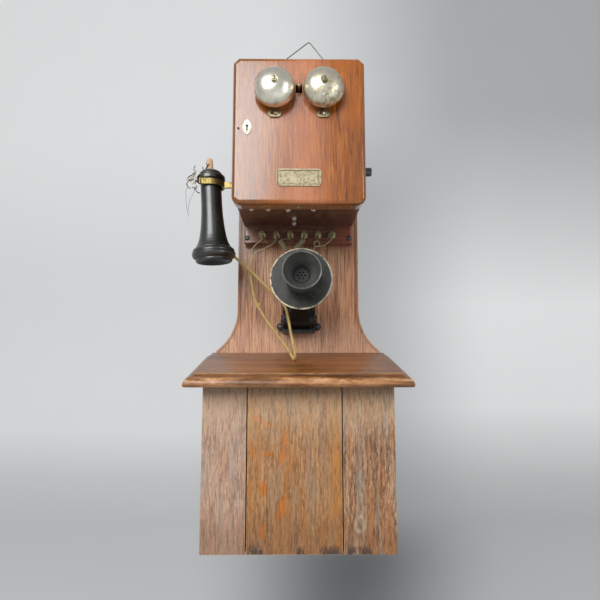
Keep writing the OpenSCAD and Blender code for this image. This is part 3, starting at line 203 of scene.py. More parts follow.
CORD_R = 2.2 * MM
TAIL_R = 1.3 * MM
LEAD_R = 0.7 * MM
BRAID_PITCH = 7 * MM
ROUTE_STEPS = 12
CORD_STEP = 0.9 * MM
LEAN = math.radians(3.5)
RECEIVER = Vector((-142.0, -95.0, 166.2)) * MM
HEAD_R = 23.0
HEAD_LOW, HEAD_TOP = -8, 17
CLEAR_OF_HEAD, CLEAR_OF_NECK = HEAD_R + 0.8, 18.4


def on_receiver(*points):
    """Points in millimetres from the middle of the receiver head's underside, leaned as it is."""
    c, s = math.cos(LEAN), math.sin(LEAN)
    return [RECEIVER + Vector((x * c - z * s, y, x * s + z * c)) * MM for x, y, z in points]


cord_low_route = mm(
    (-77, -47, 54), (-80, -48, 38), (-80, -49, 22), (-77, -52, 2), (-73, -56, -16),
    (-67, -60, -31), (-58, -63, -47), (-47, -66, -63), (-35, -70, -79), (-22, -77, -97),
    (-14, -81.5, -108), (-9.2, -85.6, -116.6), (-6.2, -91.8, -120.2), (-5.4, -98.3, -117.6),
    (-5.6, -101, -110), (-7.8, -98.5, -98), (-12.5, -90, -76), (-16.5, -81, -54),
    (-21, -76, -36), (-31, -72, -22))
knot_place = cord_low_route[5]
cord_high_route = mm(
    (-31, -72, -22), (-45, -69, -8), (-61, -65, 8), (-79, -60, 26), (-97, -54, 42),
    (-111, -51, 56), (-126, -51, 78), (-140, -54, 108), (-153, -60, 136))
cord_end_route = on_receiver(
    (-17, 28, -8), (-15, 29.5, 3), (-10, 29, 13), (-4.5, 27.5, 24), (-2.2, 26, 36),
    (-2.3, 25.6, 46))
tail_route = on_receiver(
    (-6.9, 25.6, 46), (-7.2, 26, 36), (-10, 27, 25), (-16, 26, 17), (-24, 21, 12), (-31, 14, 9),
    (-35.6, 8, 7), (-36.4, 3.8, 5.4), (-33.6, 0.9, 4.4), (-HEAD_R - 6.5, 0, 4),
    (-HEAD_R - 3.1, 0, 4))


def braid(at, angle):
    """Radius of the braided cord: two strands that cross round it."""
    turn = 2 * math.pi * at / BRAID_PITCH
    return CORD_R * (1 + 0.05 * math.sin(3 * angle + turn) * math.sin(3 * angle - turn))


whole = curve_points(cord_low_route + cord_high_route[1:], ROUTE_STEPS)
cut = ROUTE_STEPS * (len(cord_low_route) - 1)
cord_low_line = eased(even_points(whole[:cut + 1], CORD_STEP), 16)
lead_in = cord_low_route[-3:-1]
whole = curve_points(lead_in + cord_high_route + cord_end_route, ROUTE_STEPS)
cord_high_line = even_points(whole[ROUTE_STEPS * len(lead_in):], CORD_STEP)
cord_tail_line = even_points(curve_points(tail_route, ROUTE_STEPS), 0.8 * MM)
cord_low = tube_object("cord_low", [cord_low_line], braid, 12)
cord_high = tube_object("cord_high", [cord_high_line], braid, 12)
cord_tail = tube_object("cord_tail", [cord_tail_line], TAIL_R, 10)

POST_X = (-61, -37.4, -13.8, 9.8, 33.4, 57)
POST_Z = 91
LEAD_Y = -46.9
LEAD_STEP = 0.6 * MM
GROOVE_DROPS = (2.5, 7.5)
COIL_R, COIL_PITCH, COIL_TURNS, COIL_STEPS = 4.0, 2.6, 7, 24
LOOP_R, LOOP_STEPS = 5.0, 12


def vectors(points):
    return [Vector(p) for p in points]


def lead_start(x):
    """A lead's first two points, below its post's groove."""
    return [Vector((x, LEAD_Y, POST_Z - drop)) for drop in GROOVE_DROPS]


def lead_foot(x):
    """A lead's last two points, at the back of the bracket's base."""
    return vectors([(x, -23, -8), (x, -23, -19.8)])


def coil_points(a, b):
    """Helix from a towards b, half a turn longer than its whole turns."""
    d = (Vector(b) - Vector(a)).normalized()
    u = (Vector((1, 0, 0)) - d * d.x).normalized()
    v = d.cross(u)
    out = []
    for k in range(COIL_STEPS * COIL_TURNS + COIL_STEPS // 2 + 1):
        angle = 2 * math.pi * k / COIL_STEPS
        round_it = (u * math.cos(angle) + v * math.sin(angle)) * COIL_R
        out.append(Vector(a) + d * (COIL_PITCH * k / COIL_STEPS) + round_it)
    return out


def lead_line(x, a, b, way, foot_x):
    """A lead: out of its post's groove, round its coil and down to the bracket's base."""
    down = curve_points(vectors(way) + lead_foot(foot_x), 8)
    line = [p * MM for p in lead_start(x) + coil_points(a, b) + down]
    return eased(even_points(line, LEAD_STEP), 12)


def loop_line(x, before, centre, after, foot_x):
    """The lead with one open loop in it, which steps back as it turns."""
    loop = []
    for k in range(LOOP_STEPS + 2):
        angle = 2 * math.pi * k / LOOP_STEPS
        turn = Vector((-LOOP_R * math.sin(angle), k / 4 - 4, -LOOP_R * math.cos(angle)))
        loop.append(Vector(centre) + turn)
    first, second = lead_start(x)
    way = [second] + vectors(before) + loop + vectors(after) + lead_foot(foot_x)
    return eased(even_points([p * MM for p in [first] + curve_points(way, 8)], LEAD_STEP), 4)


def tip_line(x, *way):
    """One of the cord's two split ends, from its post to the knot of the cord."""
    first, second = lead_start(x)
    line = [p * MM for p in [first] + curve_points([second] + vectors(way), 10)]
    return eased(even_points(line, 0.7 * MM), 3)


lead_lines = {
    "lead_left": lead_line(
        POST_X[2], (-31, -49.9, 80), (-19, -46.9, 62),
        [(-23.2, -43, 61.5), (-19.5, -40.5, 54), (-14, -37, 40), (-10, -32, 20)], -7),
    "lead_middle": lead_line(
        POST_X[3], (8.8, -49.9, 80.5), (-5.2, -46.9, 67.5),
        [(-7.6, -43.4, 69.4), (-5, -41.5, 62), (0, -37, 41.7), (1, -32, 20)], 1),
    "lead_right": loop_line(
        POST_X[5], [(47, -49.9, 73.5), (39, -50.9, 70)], (31.4, LEAD_Y, 74.5),
        [(25, -44, 64), (18, -38, 43.8), (11, -32, 20)], 9),
    "cord_tip_left": tip_line(
        POST_X[0], (-67, -48, 78), (-76, -49, 68.8), (-79, -48, 61), (-78.2, -47, 54.7)),
    "cord_tip_right": tip_line(
        POST_X[1], (-42, -48, 75.8), (-56, -50, 67), (-69, -49, 62.1), (-75.4, -47.5, 58.1),
        (-75.8, -47, 54.7)),
}
leads = {name: tube_object(name, [line], LEAD_R, 8) for name, line in lead_lines.items()}


def knot_line(centre, size, steps=72, gap=0.06):
    """Most of a three-lobed knot; its open ends lie inside the cord that it is tied in."""
    out = []
    for k in range(steps + 1):
        t = gap + (2 * math.pi - 2 * gap) * k / steps
        across, up = math.sin(t) + 2 * math.sin(2 * t), math.cos(t) - 2 * math.cos(2 * t)
        out.append(centre + Vector((across, -math.sin(3 * t), up)) * size)
    return out


knot = tube_object("cord_knot", [knot_line(knot_place, 1.15 * MM)], 1.5 * MM, 10)


def frayed(seed, guides, copies, spread):
    """Loose threads along the guides, each shaken a little and kept off the receiver."""
    rng = random.Random(seed)
    lines = []
    for guide in guides * copies:
        points = []
        for x, y, z in guide:
            x, y, z = (c + rng.uniform(-spread, spread) for c in (x, y, z))
            clear = CLEAR_OF_HEAD if z > HEAD_LOW else CLEAR_OF_NECK
            out = max(1.0, clear / math.hypot(x, y)) if z < HEAD_TOP else 1.0
            points.append((x * out, y * out, z))
        lines.append(even_points(curve_points(on_receiver(*points), 6), 0.8 * MM))
    return lines


pale_guides = [
    [(-14, -21, 7), (-19, -16, 11.5), (-24, -12, 11), (-30, -8, 2), (-36, -6, 4)],
    [(-18, -17, 6), (-24, -12, 4), (-29, -9, -2), (-26, -10, -9), (-20, -13, -12)],
    [(-19, -16, 0), (-24, -12, -4), (-28, -9, -8), (-23, -10, -13)],
    [(-26, -4, 3), (-22, -12, 8), (-21, -14, 2), (-26, -11, -3), (-32, -8, 1)]]
curl_guides = [
    [(-24, -9, 11), (-24, -10, 19), (-22, -11, 24)],
    [(-37, -6, 4), (-33, -8, 6.5), (-26, -13, 8.5), (-21, -16, 10.5)],
    [(-20, -17, -4.5), (-24, -14, -1), (-29, -12, 0.4), (-34.5, -10, -2), (-37, -9, -5),
     (-35.5, -9, -9), (-31.5, -9, -13)],
    [(-29, -9, -11), (-25, -9, -13), (-21.5, -9, -18), (-18.4, -8, -20.5), (-16.8, -8, -20.5)],
    [(-13, 5, 28), (-12, 4, 23), (-8, 4, 21)],
    [(-6.5, 6, 34), (-6, 5, 28), (-9.5, 4, 21.5)],
    [(-3, 8, 33), (-7, 6, 26), (-9, 5, 21)]]
hanging_guides = [
    [(-36, -7, -6), (-37.2, -6, -11), (-39.6, -6, -15), (-39.7, -6, -27), (-39.4, -6, -41),
     (-37.8, -6, -50), (-36.2, -6, -57.7)],
    [(-25, -9, -11), (-26.3, -6, -17.3), (-30.4, -6, -25), (-33.7, -6, -32), (-36, -6, -41),
     (-37.4, -6, -49)]]
pale_threads = tube_object("frayed_threads", frayed(11, pale_guides, 8, 2.4), 0.7 * MM, 5)
dark_wires = tube_object("frayed_wires", frayed(23, curl_guides, 2, 0.6), 0.6 * MM, 6)
thin_wires = tube_object("hanging_wires", frayed(31, hanging_guides, 1, 0.2), 0.3 * MM, 5)


def add_binding():
    """Tan cotton wound round the cord's end and its bare strand, above the receiver's head."""
    x, y, half_x, half_y = -4.7, 25.7, 5.3, 2.8
    turns = [(1 + 0.03 * (k % 2), 31.6 + 0.6 * k) for k in range(24)]
    foot = [(0, 29.6), (0.9, 29.8), (1, 31)]
    top = [(0.97, 46.4), (0.86, 48.4), (0.62, 49.8), (0.3, 50.4), (0, 50.6)]
    bm = bmesh.new()
    lathe(bm, foot + turns + top,
          lambda u, v, h: on_receiver((x + half_x * u, y + half_y * v, h))[0], 28)
    return finish_mesh("cord_binding", bm)


binding = add_binding()
for piece in (cord_low, knot, *leads.values()):
    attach(piece, "cabinet")
for piece in (cord_tail, binding, pale_threads, dark_wires, thin_wires):
    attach(piece, "receiver")
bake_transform(cord_high)
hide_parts("receiver_cord")
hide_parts("receiver_cord_end")
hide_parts("receiver_cord_end")
for piece in leads.values():
    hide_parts("terminal_leads")


# Small fittings that the photograph shows on the door

def add_nail():
    """The nail's round head beside the keyhole; its hidden back sits in the door."""
    place = Vector((-88.4, -179.4, 215.5))
    profile = [(0, 0.4), (1.9, 0.4), (1.9, 0), (1.7, -0.5), (1.1, -0.9), (0, -1.05)]
    bm = bmesh.new()
    lathe(bm, profile, lambda u, v, h: (place + Vector((u, h, v))) * MM, 20)
    return finish_mesh("door_nail", bm)


def add_lip_plate():
    """A small pale plate under the door's lower edge, with a screw in it."""
    bm = bmesh.new()
    w, d, t, r = 5.4, 3.2, 0.7, 1.2
    outline = []
    for sx, sy, a0 in ((1, 1, 0), (-1, 1, 90), (-1, -1, 180), (1, -1, 270)):
        for k in range(6):
            a = math.radians(a0 + 18 * k)
            outline.append((sx * (w - r) + r * math.cos(a), sy * (d - r) + r * math.sin(a)))
    base = Vector((-0.7, -165.0, 102.0))
    top = [bm.verts.new((base + Vector((x, y, 0.2))) * MM) for x, y in outline]
    low = [bm.verts.new((base + Vector((x, y, 0.2 - t))) * MM) for x, y in outline]
    rim = [bm.verts.new((base + Vector((x * 0.93, y * 0.9, -t))) * MM) for x, y in outline]
    bm.faces.new(top)
    bm.faces.new(rim[::-1])
    for a, b in ((top, low), (low, rim)):
        for k in range(len(a)):
            m = (k + 1) % len(a)
            bm.faces.new((a[k], a[m], b[m], b[k]))
    lathe(bm, [(0, -0.5), (1.7, -0.5), (1.7, -0.9), (1.2, -1.4), (0, -1.6)],
          lambda u, v, h: (base + Vector((u, v, h))) * MM, 16)
    return finish_mesh("lip_plate", bm, smooth=False)


nail = add_nail()
lip_plate = add_lip_plate()
for piece, name in ((nail, "black_steel"), (lip_plate, "pale_brass")):
    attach(piece, "door")


# Materials

def rgb(r, g, b):
    """A colour as seen on a screen, 0 to 255, in the shader's own units."""
    def linear(c):
        return ((c / 255 + 0.055) / 1.055) ** 2.4 if c > 10 else c / 3294.6
    return linear(r), linear(g), linear(b), 1.0


def darker(colour, share):
    return tuple(c * share for c in colour[:3]) + (1.0,)


class Shade:
    """A procedural material in the making, mapped by the part's own frame in metres."""

    def __init__(self, name):
        self.material = bpy.data.materials.new(name)
        self.material.use_nodes = True
        self.tree = self.material.node_tree
        self.tree.nodes.clear()
        self.surface = self.tree.nodes.new("ShaderNodeBsdfPrincipled")
        out = self.tree.nodes.new("ShaderNodeOutputMaterial")
        self.tree.links.new(self.surface.outputs[0], out.inputs["Surface"])
        coords = self.tree.nodes.new("ShaderNodeTexCoord")
        self.place, self.uv = coords.outputs["Object"], coords.outputs["UV"]
        split = self.tree.nodes.new("ShaderNodeSeparateXYZ")
        self.tree.links.new(self.place, split.inputs[0])
        self.x, self.y, self.z = split.outputs

    def node(self, kind, inputs=(), **settings):
        made = self.tree.nodes.new(kind)
        for key, value in settings.items():
            setattr(made, key, value)
        for key, value in dict(inputs).items():
            self.put(made.inputs[key], value)
        return made

    def put(self, socket, value):
        if isinstance(value, bpy.types.NodeSocket):
            self.tree.links.new(value, socket)
        else:
            socket.default_value = value

    def set(self, **values):
        """Inputs of the surface shader, with underscores for spaces."""
        for key, value in values.items():
            self.put(self.surface.inputs[key.replace("_", " ")], value)
        return self

    def math(self, kind, a, b=0.0):
        return self.node("ShaderNodeMath", {0: a, 1: b}, operation=kind).outputs[0]

    def add(self, a, b):
        return self.math("ADD", a, b)

    def times(self, a, b):
        return self.math("MULTIPLY", a, b)

    def most(self, a, b):
        return self.math("MAXIMUM", a, b)

    def inverse(self, a):
        return self.math("SUBTRACT", 1.0, a)

    def rise(self, value, low, high, start=0.0, end=1.0):
        """Smooth step of a value from start at low to end at high."""
        return self.node("ShaderNodeMapRange", {0: value, 1: low, 2: high, 3: start, 4: end},
                         interpolation_type="SMOOTHSTEP").outputs[0]

    def between(self, value, a, b, soft):
        """1 from a to b with soft ends, 0 outside them."""
        return self.times(self.rise(value, a, a + soft),
                          self.inverse(self.rise(value, b - soft, b)))

    def scaled(self, scale, offset=(0, 0, 0), source=None):
        return self.node("ShaderNodeMapping", {"Vector": source or self.place, "Scale": scale,
                                               "Location": offset}).outputs[0]

    def noise(self, at, detail=2.0, rough=0.5, distort=0.0):
        inputs = {"Vector": at, "Scale": 1.0, "Detail": detail, "Roughness": rough,
                  "Distortion": distort}
        return self.node("ShaderNodeTexNoise", inputs).outputs[0]

    def mix(self, share, a, b):
        made = self.node("ShaderNodeMix", {0: share, 6: a, 7: b}, data_type="RGBA")
        return made.outputs[2]

    def ramp(self, value, *stops):
        made = self.node("ShaderNodeValToRGB", {0: value})
        line = made.color_ramp.elements
        while len(line) < len(stops):
            line.new(0.5)
        for element, (at, colour) in zip(line, stops):
            element.position, element.color = at, colour
        return made.outputs[0]

    def bump(self, height, distance, strength=1.0):
        inputs = {"Strength": strength, "Distance": distance, "Height": height}
        return self.node("ShaderNodeBump", inputs).outputs["Normal"]

    def spot(self, x, z, rx, rz, slant=0.0, wobble=None):
        """Soft oval on a front face, in millimetres; slant leans it and wobble frays its rim."""
        up = self.add(self.z, -z * MM)
        side = self.add(self.add(self.x, -x * MM), self.times(up, -slant))
        side, up = self.times(side, 1 / (rx * MM)), self.times(up, 1 / (rz * MM))
        far = self.add(self.times(side, side), self.times(up, up))
        return self.inverse(self.rise(self.add(far, wobble) if wobble else far, 0.35, 1.2))

    def corners(self, reach):
        """1 deep in the piece's own inner corners, 0 on open faces: the mask for painted corner
        shade.
        """
        probe = self.node("ShaderNodeAmbientOcclusion", {"Distance": reach}, samples=8,
                          only_local=True)
        return self.rise(self.inverse(probe.outputs["AO"]), 0.12, 0.5)

    def edges(self, radius, low=0.02, high=0.25):
        """1 along the piece's sharp edges, 0 on its faces."""
        soft = self.node("ShaderNodeBevel", {"Radius": radius}, samples=6).outputs[0]
        plain = self.node("ShaderNodeNewGeometry").outputs["Normal"]
        turn = self.node("ShaderNodeVectorMath", {0: soft, 1: plain}, operation="DOT_PRODUCT")
        return self.rise(self.inverse(turn.outputs["Value"]), low, high)


def oak(name, along, dark, mid, light, seed, worn=None, wear=None, edge=None, rough=0.3,
        gloss=0.4, pores=0.4, banding=0.3, reach=0.12, grain=0.16, extra=None, lines=None,
        relief=0.4):
    """Oak with its grain along an axis: bands, streaks, open pores, wear and painted shade in inner
    corners.

    lines gives dark lines of grain: their strength, how many to a metre, and how short they are.
    """
    s = Shade(name)

    def lengthwise(scale, share, shift):
        size = [scale] * 3
        size[along] = scale * share
        return s.scaled(size, (seed + shift, seed * 0.7 - shift, seed * 1.3 + shift))

    bands = s.noise(lengthwise(55, 0.05, 1.3), 3.0, 0.55, 0.5)
    streaks = s.noise(lengthwise(300, 0.05, 3.7), 3.0, 0.6, 0.3)
    fine = s.noise(lengthwise(620, grain, 5.1), 3.0, 0.7)
    pits = s.rise(s.noise(lengthwise(1300, 0.11, 8.9), 1.0, 0.5), 0.56, 0.72)
    cloud = s.noise(lengthwise(9, 0.5, 2.2), 2.0, 0.5)
    tone = s.add(s.times(streaks, 0.3), s.times(fine, 0.7 - banding))
    tone = s.add(s.times(bands, banding), tone)
    colour = s.ramp(tone, (0.5 - reach, dark), (0.5, mid), (0.5 + reach, light))
    colour = s.mix(s.rise(cloud, 0.35, 0.7, 0.0, 0.3), colour, dark)
    if wear:
        ragged = s.rise(s.noise(lengthwise(60, 0.15, 4.4), 3.0, 0.6), 0.34, 0.6)
        colour = s.mix(s.times(wear(s), s.rise(ragged, 0.0, 1.0, 0.55, 1.0)), colour, worn)
    if extra:
        colour = extra(s, colour)
    if lines:
        strength, across, shortness = lines
        darkness = s.rise(s.noise(lengthwise(across, shortness, 6.6), 2.0, 0.6), 0.5, 0.64)
        colour = s.mix(s.times(darkness, strength), colour, darker(dark, 0.6))
    pore_and_corner_shade = darker(dark, 0.3)
    colour = s.mix(s.times(pits, pores), colour, pore_and_corner_shade)
    if edge:
        patchy = s.rise(s.noise(s.scaled((60, 60, 60)), 3.0), 0.36, 0.58)
        colour = s.mix(s.times(s.times(s.edges(0.0022), patchy), 0.7), colour, edge)
    # Painted shade: darker in the piece's inner corners, found by ambient occlusion.
    colour = s.mix(s.times(s.corners(0.006), 0.75), colour, pore_and_corner_shade)
    height = s.add(s.times(fine, 0.5), s.add(s.times(streaks, 0.5), s.times(pits, -0.9)))
    s.set(Base_Color=colour, Roughness=s.add(s.times(streaks, 0.2), rough - 0.1),
          Normal=s.bump(height, 0.0004, relief), Coat_Weight=gloss, Coat_Roughness=0.16)
    return s.material


def metal(name, base, stain, seed, rough, stained, pitted=0.0, brushed=None, edge=None,
          local=None, bumps=0.35):
    """Plated or bare metal with tarnish, spots and rubbed edges."""
    s = Shade(name)
    cloud = s.noise(s.scaled((70, 70, 70), (seed, seed, seed)), 5.0, 0.65, 0.4)
    spots = s.rise(s.noise(s.scaled((260, 260, 260), (seed, 2, seed)), 3.0, 0.6), 0.6, 0.72)
    fine = s.noise(s.scaled(brushed or (900, 900, 900)), 2.0, 0.6)
    share = s.times(s.rise(cloud, 0.42, 0.66), stained)
    if local:
        share = s.math("MINIMUM", s.add(share, local(s)), 1.0)
    colour = s.mix(share, base, stain)
    colour = s.mix(s.times(spots, 0.35 + pitted), colour, darker(stain, 0.35))
    if edge:
        colour = s.mix(s.times(s.edges(0.0009), 0.7), colour, edge)
    dull = s.add(s.times(share, 0.22), s.add(s.times(fine, 0.14), s.times(spots, 0.15)))
    s.set(Base_Color=colour, Metallic=s.rise(share, 0.0, 1.0, 1.0, 0.72),
          Roughness=s.add(dull, rough - 0.07),
          Normal=s.bump(s.add(s.times(fine, 0.6), s.times(spots, -0.6)), 0.00012, bumps))
    return s.material


def black(name, base, worn, seed, rough, dust, edge=None, local=None, coat=0.4, shine=0.5,
          dull=None):
    """Black japan or hard rubber: scuffs, specks of dust, pale edges that are wear on the face
    plate and painted highlights elsewhere, and painted shade where dull is given.
    """
    s = Shade(name)
    cloud = s.noise(s.scaled((45, 45, 45), (seed, seed, seed)), 4.0, 0.6)
    specks = s.rise(s.noise(s.scaled((420, 420, 420), (seed, 1, 3)), 2.0, 0.5), 0.66, 0.74)
    grain = s.noise(s.scaled((1600, 1600, 1600)), 2.0, 0.6)
    scuffs = s.rise(s.noise(s.scaled((130, 130, 700), (seed, 4, 2)), 3.0, 0.6, 0.8), 0.62, 0.74)
    colour = s.mix(s.rise(cloud, 0.4, 0.7, 0.0, 0.6), base, worn)
    colour = s.mix(s.times(specks, dust), colour, rgb(150, 148, 140))
    colour = s.mix(s.times(scuffs, 0.12 if dust else 0.0), colour, rgb(120, 116, 108))
    # Pale edges: rubbed wear on the face plate, painted highlights on the other pieces.
    if edge:
        rubbed = s.times(s.edges(0.0012), s.rise(cloud, 0.35, 0.6))
        if local:
            rubbed = s.most(rubbed, local(s))
        colour = s.mix(rubbed, colour, edge)
    marks = s.add(s.times(scuffs, 0.2), s.times(specks, 0.3))
    blur = s.add(s.add(s.times(cloud, 0.16), rough - 0.08), s.times(marks, 1.0 if dust else 0.0))
    # Painted shade: the dull patch is painted dark, and made rougher.
    if dull:
        deep = dull(s)
        colour = s.mix(deep, colour, rgb(20, 20, 20))
        blur = s.add(blur, s.times(deep, 0.6))
    s.set(Base_Color=colour, Roughness=blur, Specular_IOR_Level=shine,
          Normal=s.bump(s.add(s.times(grain, 0.4), s.times(cloud, 0.6)), 0.00015, 0.3),
          Coat_Weight=coat, Coat_Roughness=0.16)
    return s.material


def cloth(name, pale, deep, turns, per_cm, tint=None):
    """Braided or wrapped cotton: two sets of strands that cross, by the tube's own length."""
    s = Shade(name)
    split = s.node("ShaderNodeSeparateXYZ", {0: s.uv})
    u, v = split.outputs[0], split.outputs[1]
    waves = []
    for sign in (1, -1):
        phase = s.add(s.times(u, 2 * math.pi * turns), s.times(v, sign * 2 * math.pi * per_cm))
        waves.append(s.math("SINE", phase))
    weave = s.add(s.times(s.times(waves[0], waves[1]), 0.5), 0.5)
    fuzz = s.noise(s.scaled((2600, 2600, 2600)), 2.0, 0.7)
    cloud = s.noise(s.scaled((70, 70, 70)), 3.0, 0.6)
    colour = s.mix(s.add(s.times(weave, 0.7), s.times(fuzz, 0.3)), deep, pale)
    if tint:
        colour = s.mix(s.rise(cloud, 0.42, 0.62, 0.0, 0.8), colour, tint)
    s.set(Base_Color=colour, Roughness=s.add(s.times(fuzz, 0.2), 0.7),
          Normal=s.bump(s.add(s.times(weave, 0.8), s.times(fuzz, 0.4)), 0.0004, 0.6),
          Sheen_Weight=0.2, Sheen_Roughness=0.5)
    return s.material


def winding(name, colour, deep, scale):
    """Cloth-covered winding: fine turns across its length."""
    s = Shade(name)
    turns = s.noise(s.scaled(scale), 1.0, 0.4)
    cloud = s.noise(s.scaled((60, 60, 60)), 3.0)
    share = s.add(s.times(turns, 0.6), s.times(cloud, 0.4))
    s.set(Base_Color=s.mix(share, deep, colour), Roughness=0.75, Normal=s.bump(turns, 0.0005, 0.6))
    return s.material


def paint(material, *names):
    for name in names:
        obj = nodes.get(name) or bpy.data.objects[name]
        obj.data.materials.clear()
        obj.data.materials.append(material)


X, Y, Z = 0, 1, 2    # the ways that the grain can run


def door_wear(s):
    """Varnish rubbed to orange: the right edge, both right-hand corners and the foot."""
    right = s.rise(s.x, 0.078, 0.094)
    corner = s.most(s.spot(96, 262, 28, 62, 0.1), s.spot(72, 318, 34, 16))
    corner = s.most(corner, s.spot(94, 126, 12, 30))
    low = s.times(s.inverse(s.rise(s.z, 0.108, 0.142)), s.between(s.x, -0.06, 0.07, 0.03))
    return s.most(s.most(s.times(right, 0.3), corner), s.times(low, 0.7))


def door_sheen_and_edges(s, colour):
    """Paler down the middle of the door as a painted sheen, and darker towards both edges."""
    # Painted sheen: a pale band down the middle of the door.
    colour = s.mix(s.times(s.between(s.x, -0.036, 0.056, 0.04), 0.35), colour, rgb(235, 155, 116))
    colour = s.mix(s.rise(s.x, -0.03, -0.075, 0.0, 0.45), colour, rgb(112, 68, 16))
    edge = s.times(s.rise(s.x, 0.066, 0.09), s.inverse(s.rise(s.z, 0.2, 0.25)))
    return s.mix(s.times(edge, 0.4), colour, rgb(112, 62, 14))


def shelf_wear(s):
    """The moulded front edge, worn pale in places."""
    patchy = s.rise(s.noise(s.scaled((28, 90, 90), (4, 1, 6)), 4.0, 0.65), 0.4, 0.62, 0.15, 0.9)
    return s.times(s.inverse(s.rise(s.y, -0.182, -0.168)), patchy)


def shelf_lines(s, colour):
    """Painted shade in the moulding's quirk and along its foot, and pale patches on the bead
    between them, partly rubbed wear and partly painted highlight.
    """
    slope = math.radians(10.3)
    below = s.add(s.times(s.add(s.y, 0.020), -math.sin(slope)),
                  s.times(s.add(s.z, 0.109), math.cos(slope)))
    worn = s.rise(s.noise(s.scaled((40, 160, 160), (7, 2, 3)), 4.0, 0.65), 0.45, 0.62)
    # Pale bead: partly rubbed wear, partly painted highlight.
    bead = s.times(s.between(below, -0.0100, -0.0048, 0.0022), worn)
    colour = s.mix(s.times(bead, 0.75), colour, rgb(232, 184, 134))
    rim = s.times(s.between(below, -0.0022, -0.0003, 0.0006), s.rise(worn, 0.0, 1.0, 0.3, 1.0))
    colour = s.mix(s.times(rim, 0.8), colour, rgb(216, 162, 110))
    # Painted shade: dark lines in the quirk and along the moulding's foot.
    crease_shade = s.most(s.between(below, -0.0052, -0.0022, 0.001),
                  s.between(below, -0.0152, -0.0128, 0.0008))
    return s.mix(s.times(crease_shade, 0.45), colour, rgb(56, 30, 17))


def board_step(s, colour):
    """Painted shade over the recessed step and in its inner corner, a painted highlight along the
    outer rim, a worn right side, and the lower board painted paler as painted light.
    """
    # Painted shade: darker over the recessed step, and over the board's sides and back.
    step = s.rise(s.y, -0.0185, -0.0172)
    colour = s.mix(s.times(step, 0.35), colour, rgb(120, 62, 34))
    side = s.times(s.rise(s.x, 0.06, 0.1), s.between(s.z, -0.115, 0.1, 0.05))
    colour = s.mix(s.times(side, 0.35), colour, rgb(182, 108, 54))
    # Painted light: the board paler towards its foot.
    colour = s.mix(s.rise(s.z, -0.03, -0.09, 0.0, 0.58), colour, rgb(226, 178, 148))
    # Painted shade: a dark line in the step's inner corner.
    across, above = s.math("ABSOLUTE", s.x), s.rise(s.z, -0.07, -0.05)
    groove = s.times(s.between(across, 0.097, 0.1004, 0.0012), above)
    colour = s.mix(s.times(groove, 0.6), colour, rgb(84, 42, 24))
    # Painted highlight: a pale line along the board's outer rim.
    rim = s.times(s.rise(across, 0.1012, 0.103), above)
    return s.mix(s.times(rim, 0.5), colour, rgb(222, 150, 92))


def strip_ends(s, colour):
    """Left end painted paler as a painted reflection, and a redder right end."""
    # Painted reflection: the left end paler.
    left = s.inverse(s.rise(s.x, -0.088, -0.066))
    colour = s.mix(s.times(left, 0.6), colour, rgb(168, 140, 120))
    return s.mix(s.times(s.rise(s.x, 0.055, 0.08), 0.6), colour, rgb(158, 76, 40))


# Ovals on the battery's front, in millimetres: x, z, half width, half height and a fleck's slant
FLECKS = ((-58, -203, 9, 5, -0.6), (-44, -211, 9, 5, -0.8), (-19, -232, 4, 16, 0.1),
          (-24, -257, 5, 14, 0.25), (-43, -252, 9, 4, 0), (-50, -300, 6, 13, 0),
          (-25, -326, 6, 19, 0.2), (-66, -248, 4, 16, 0), (-51, -356, 5, 15, 0))
STAINS = ((-60, -384, 11, 11), (4, -386, 7, 9), (46, -385, 15, 10), (74, -385, 7, 9),
          (94, -385, 11, 11))
RING_X, RING_Z = 86.5, -348


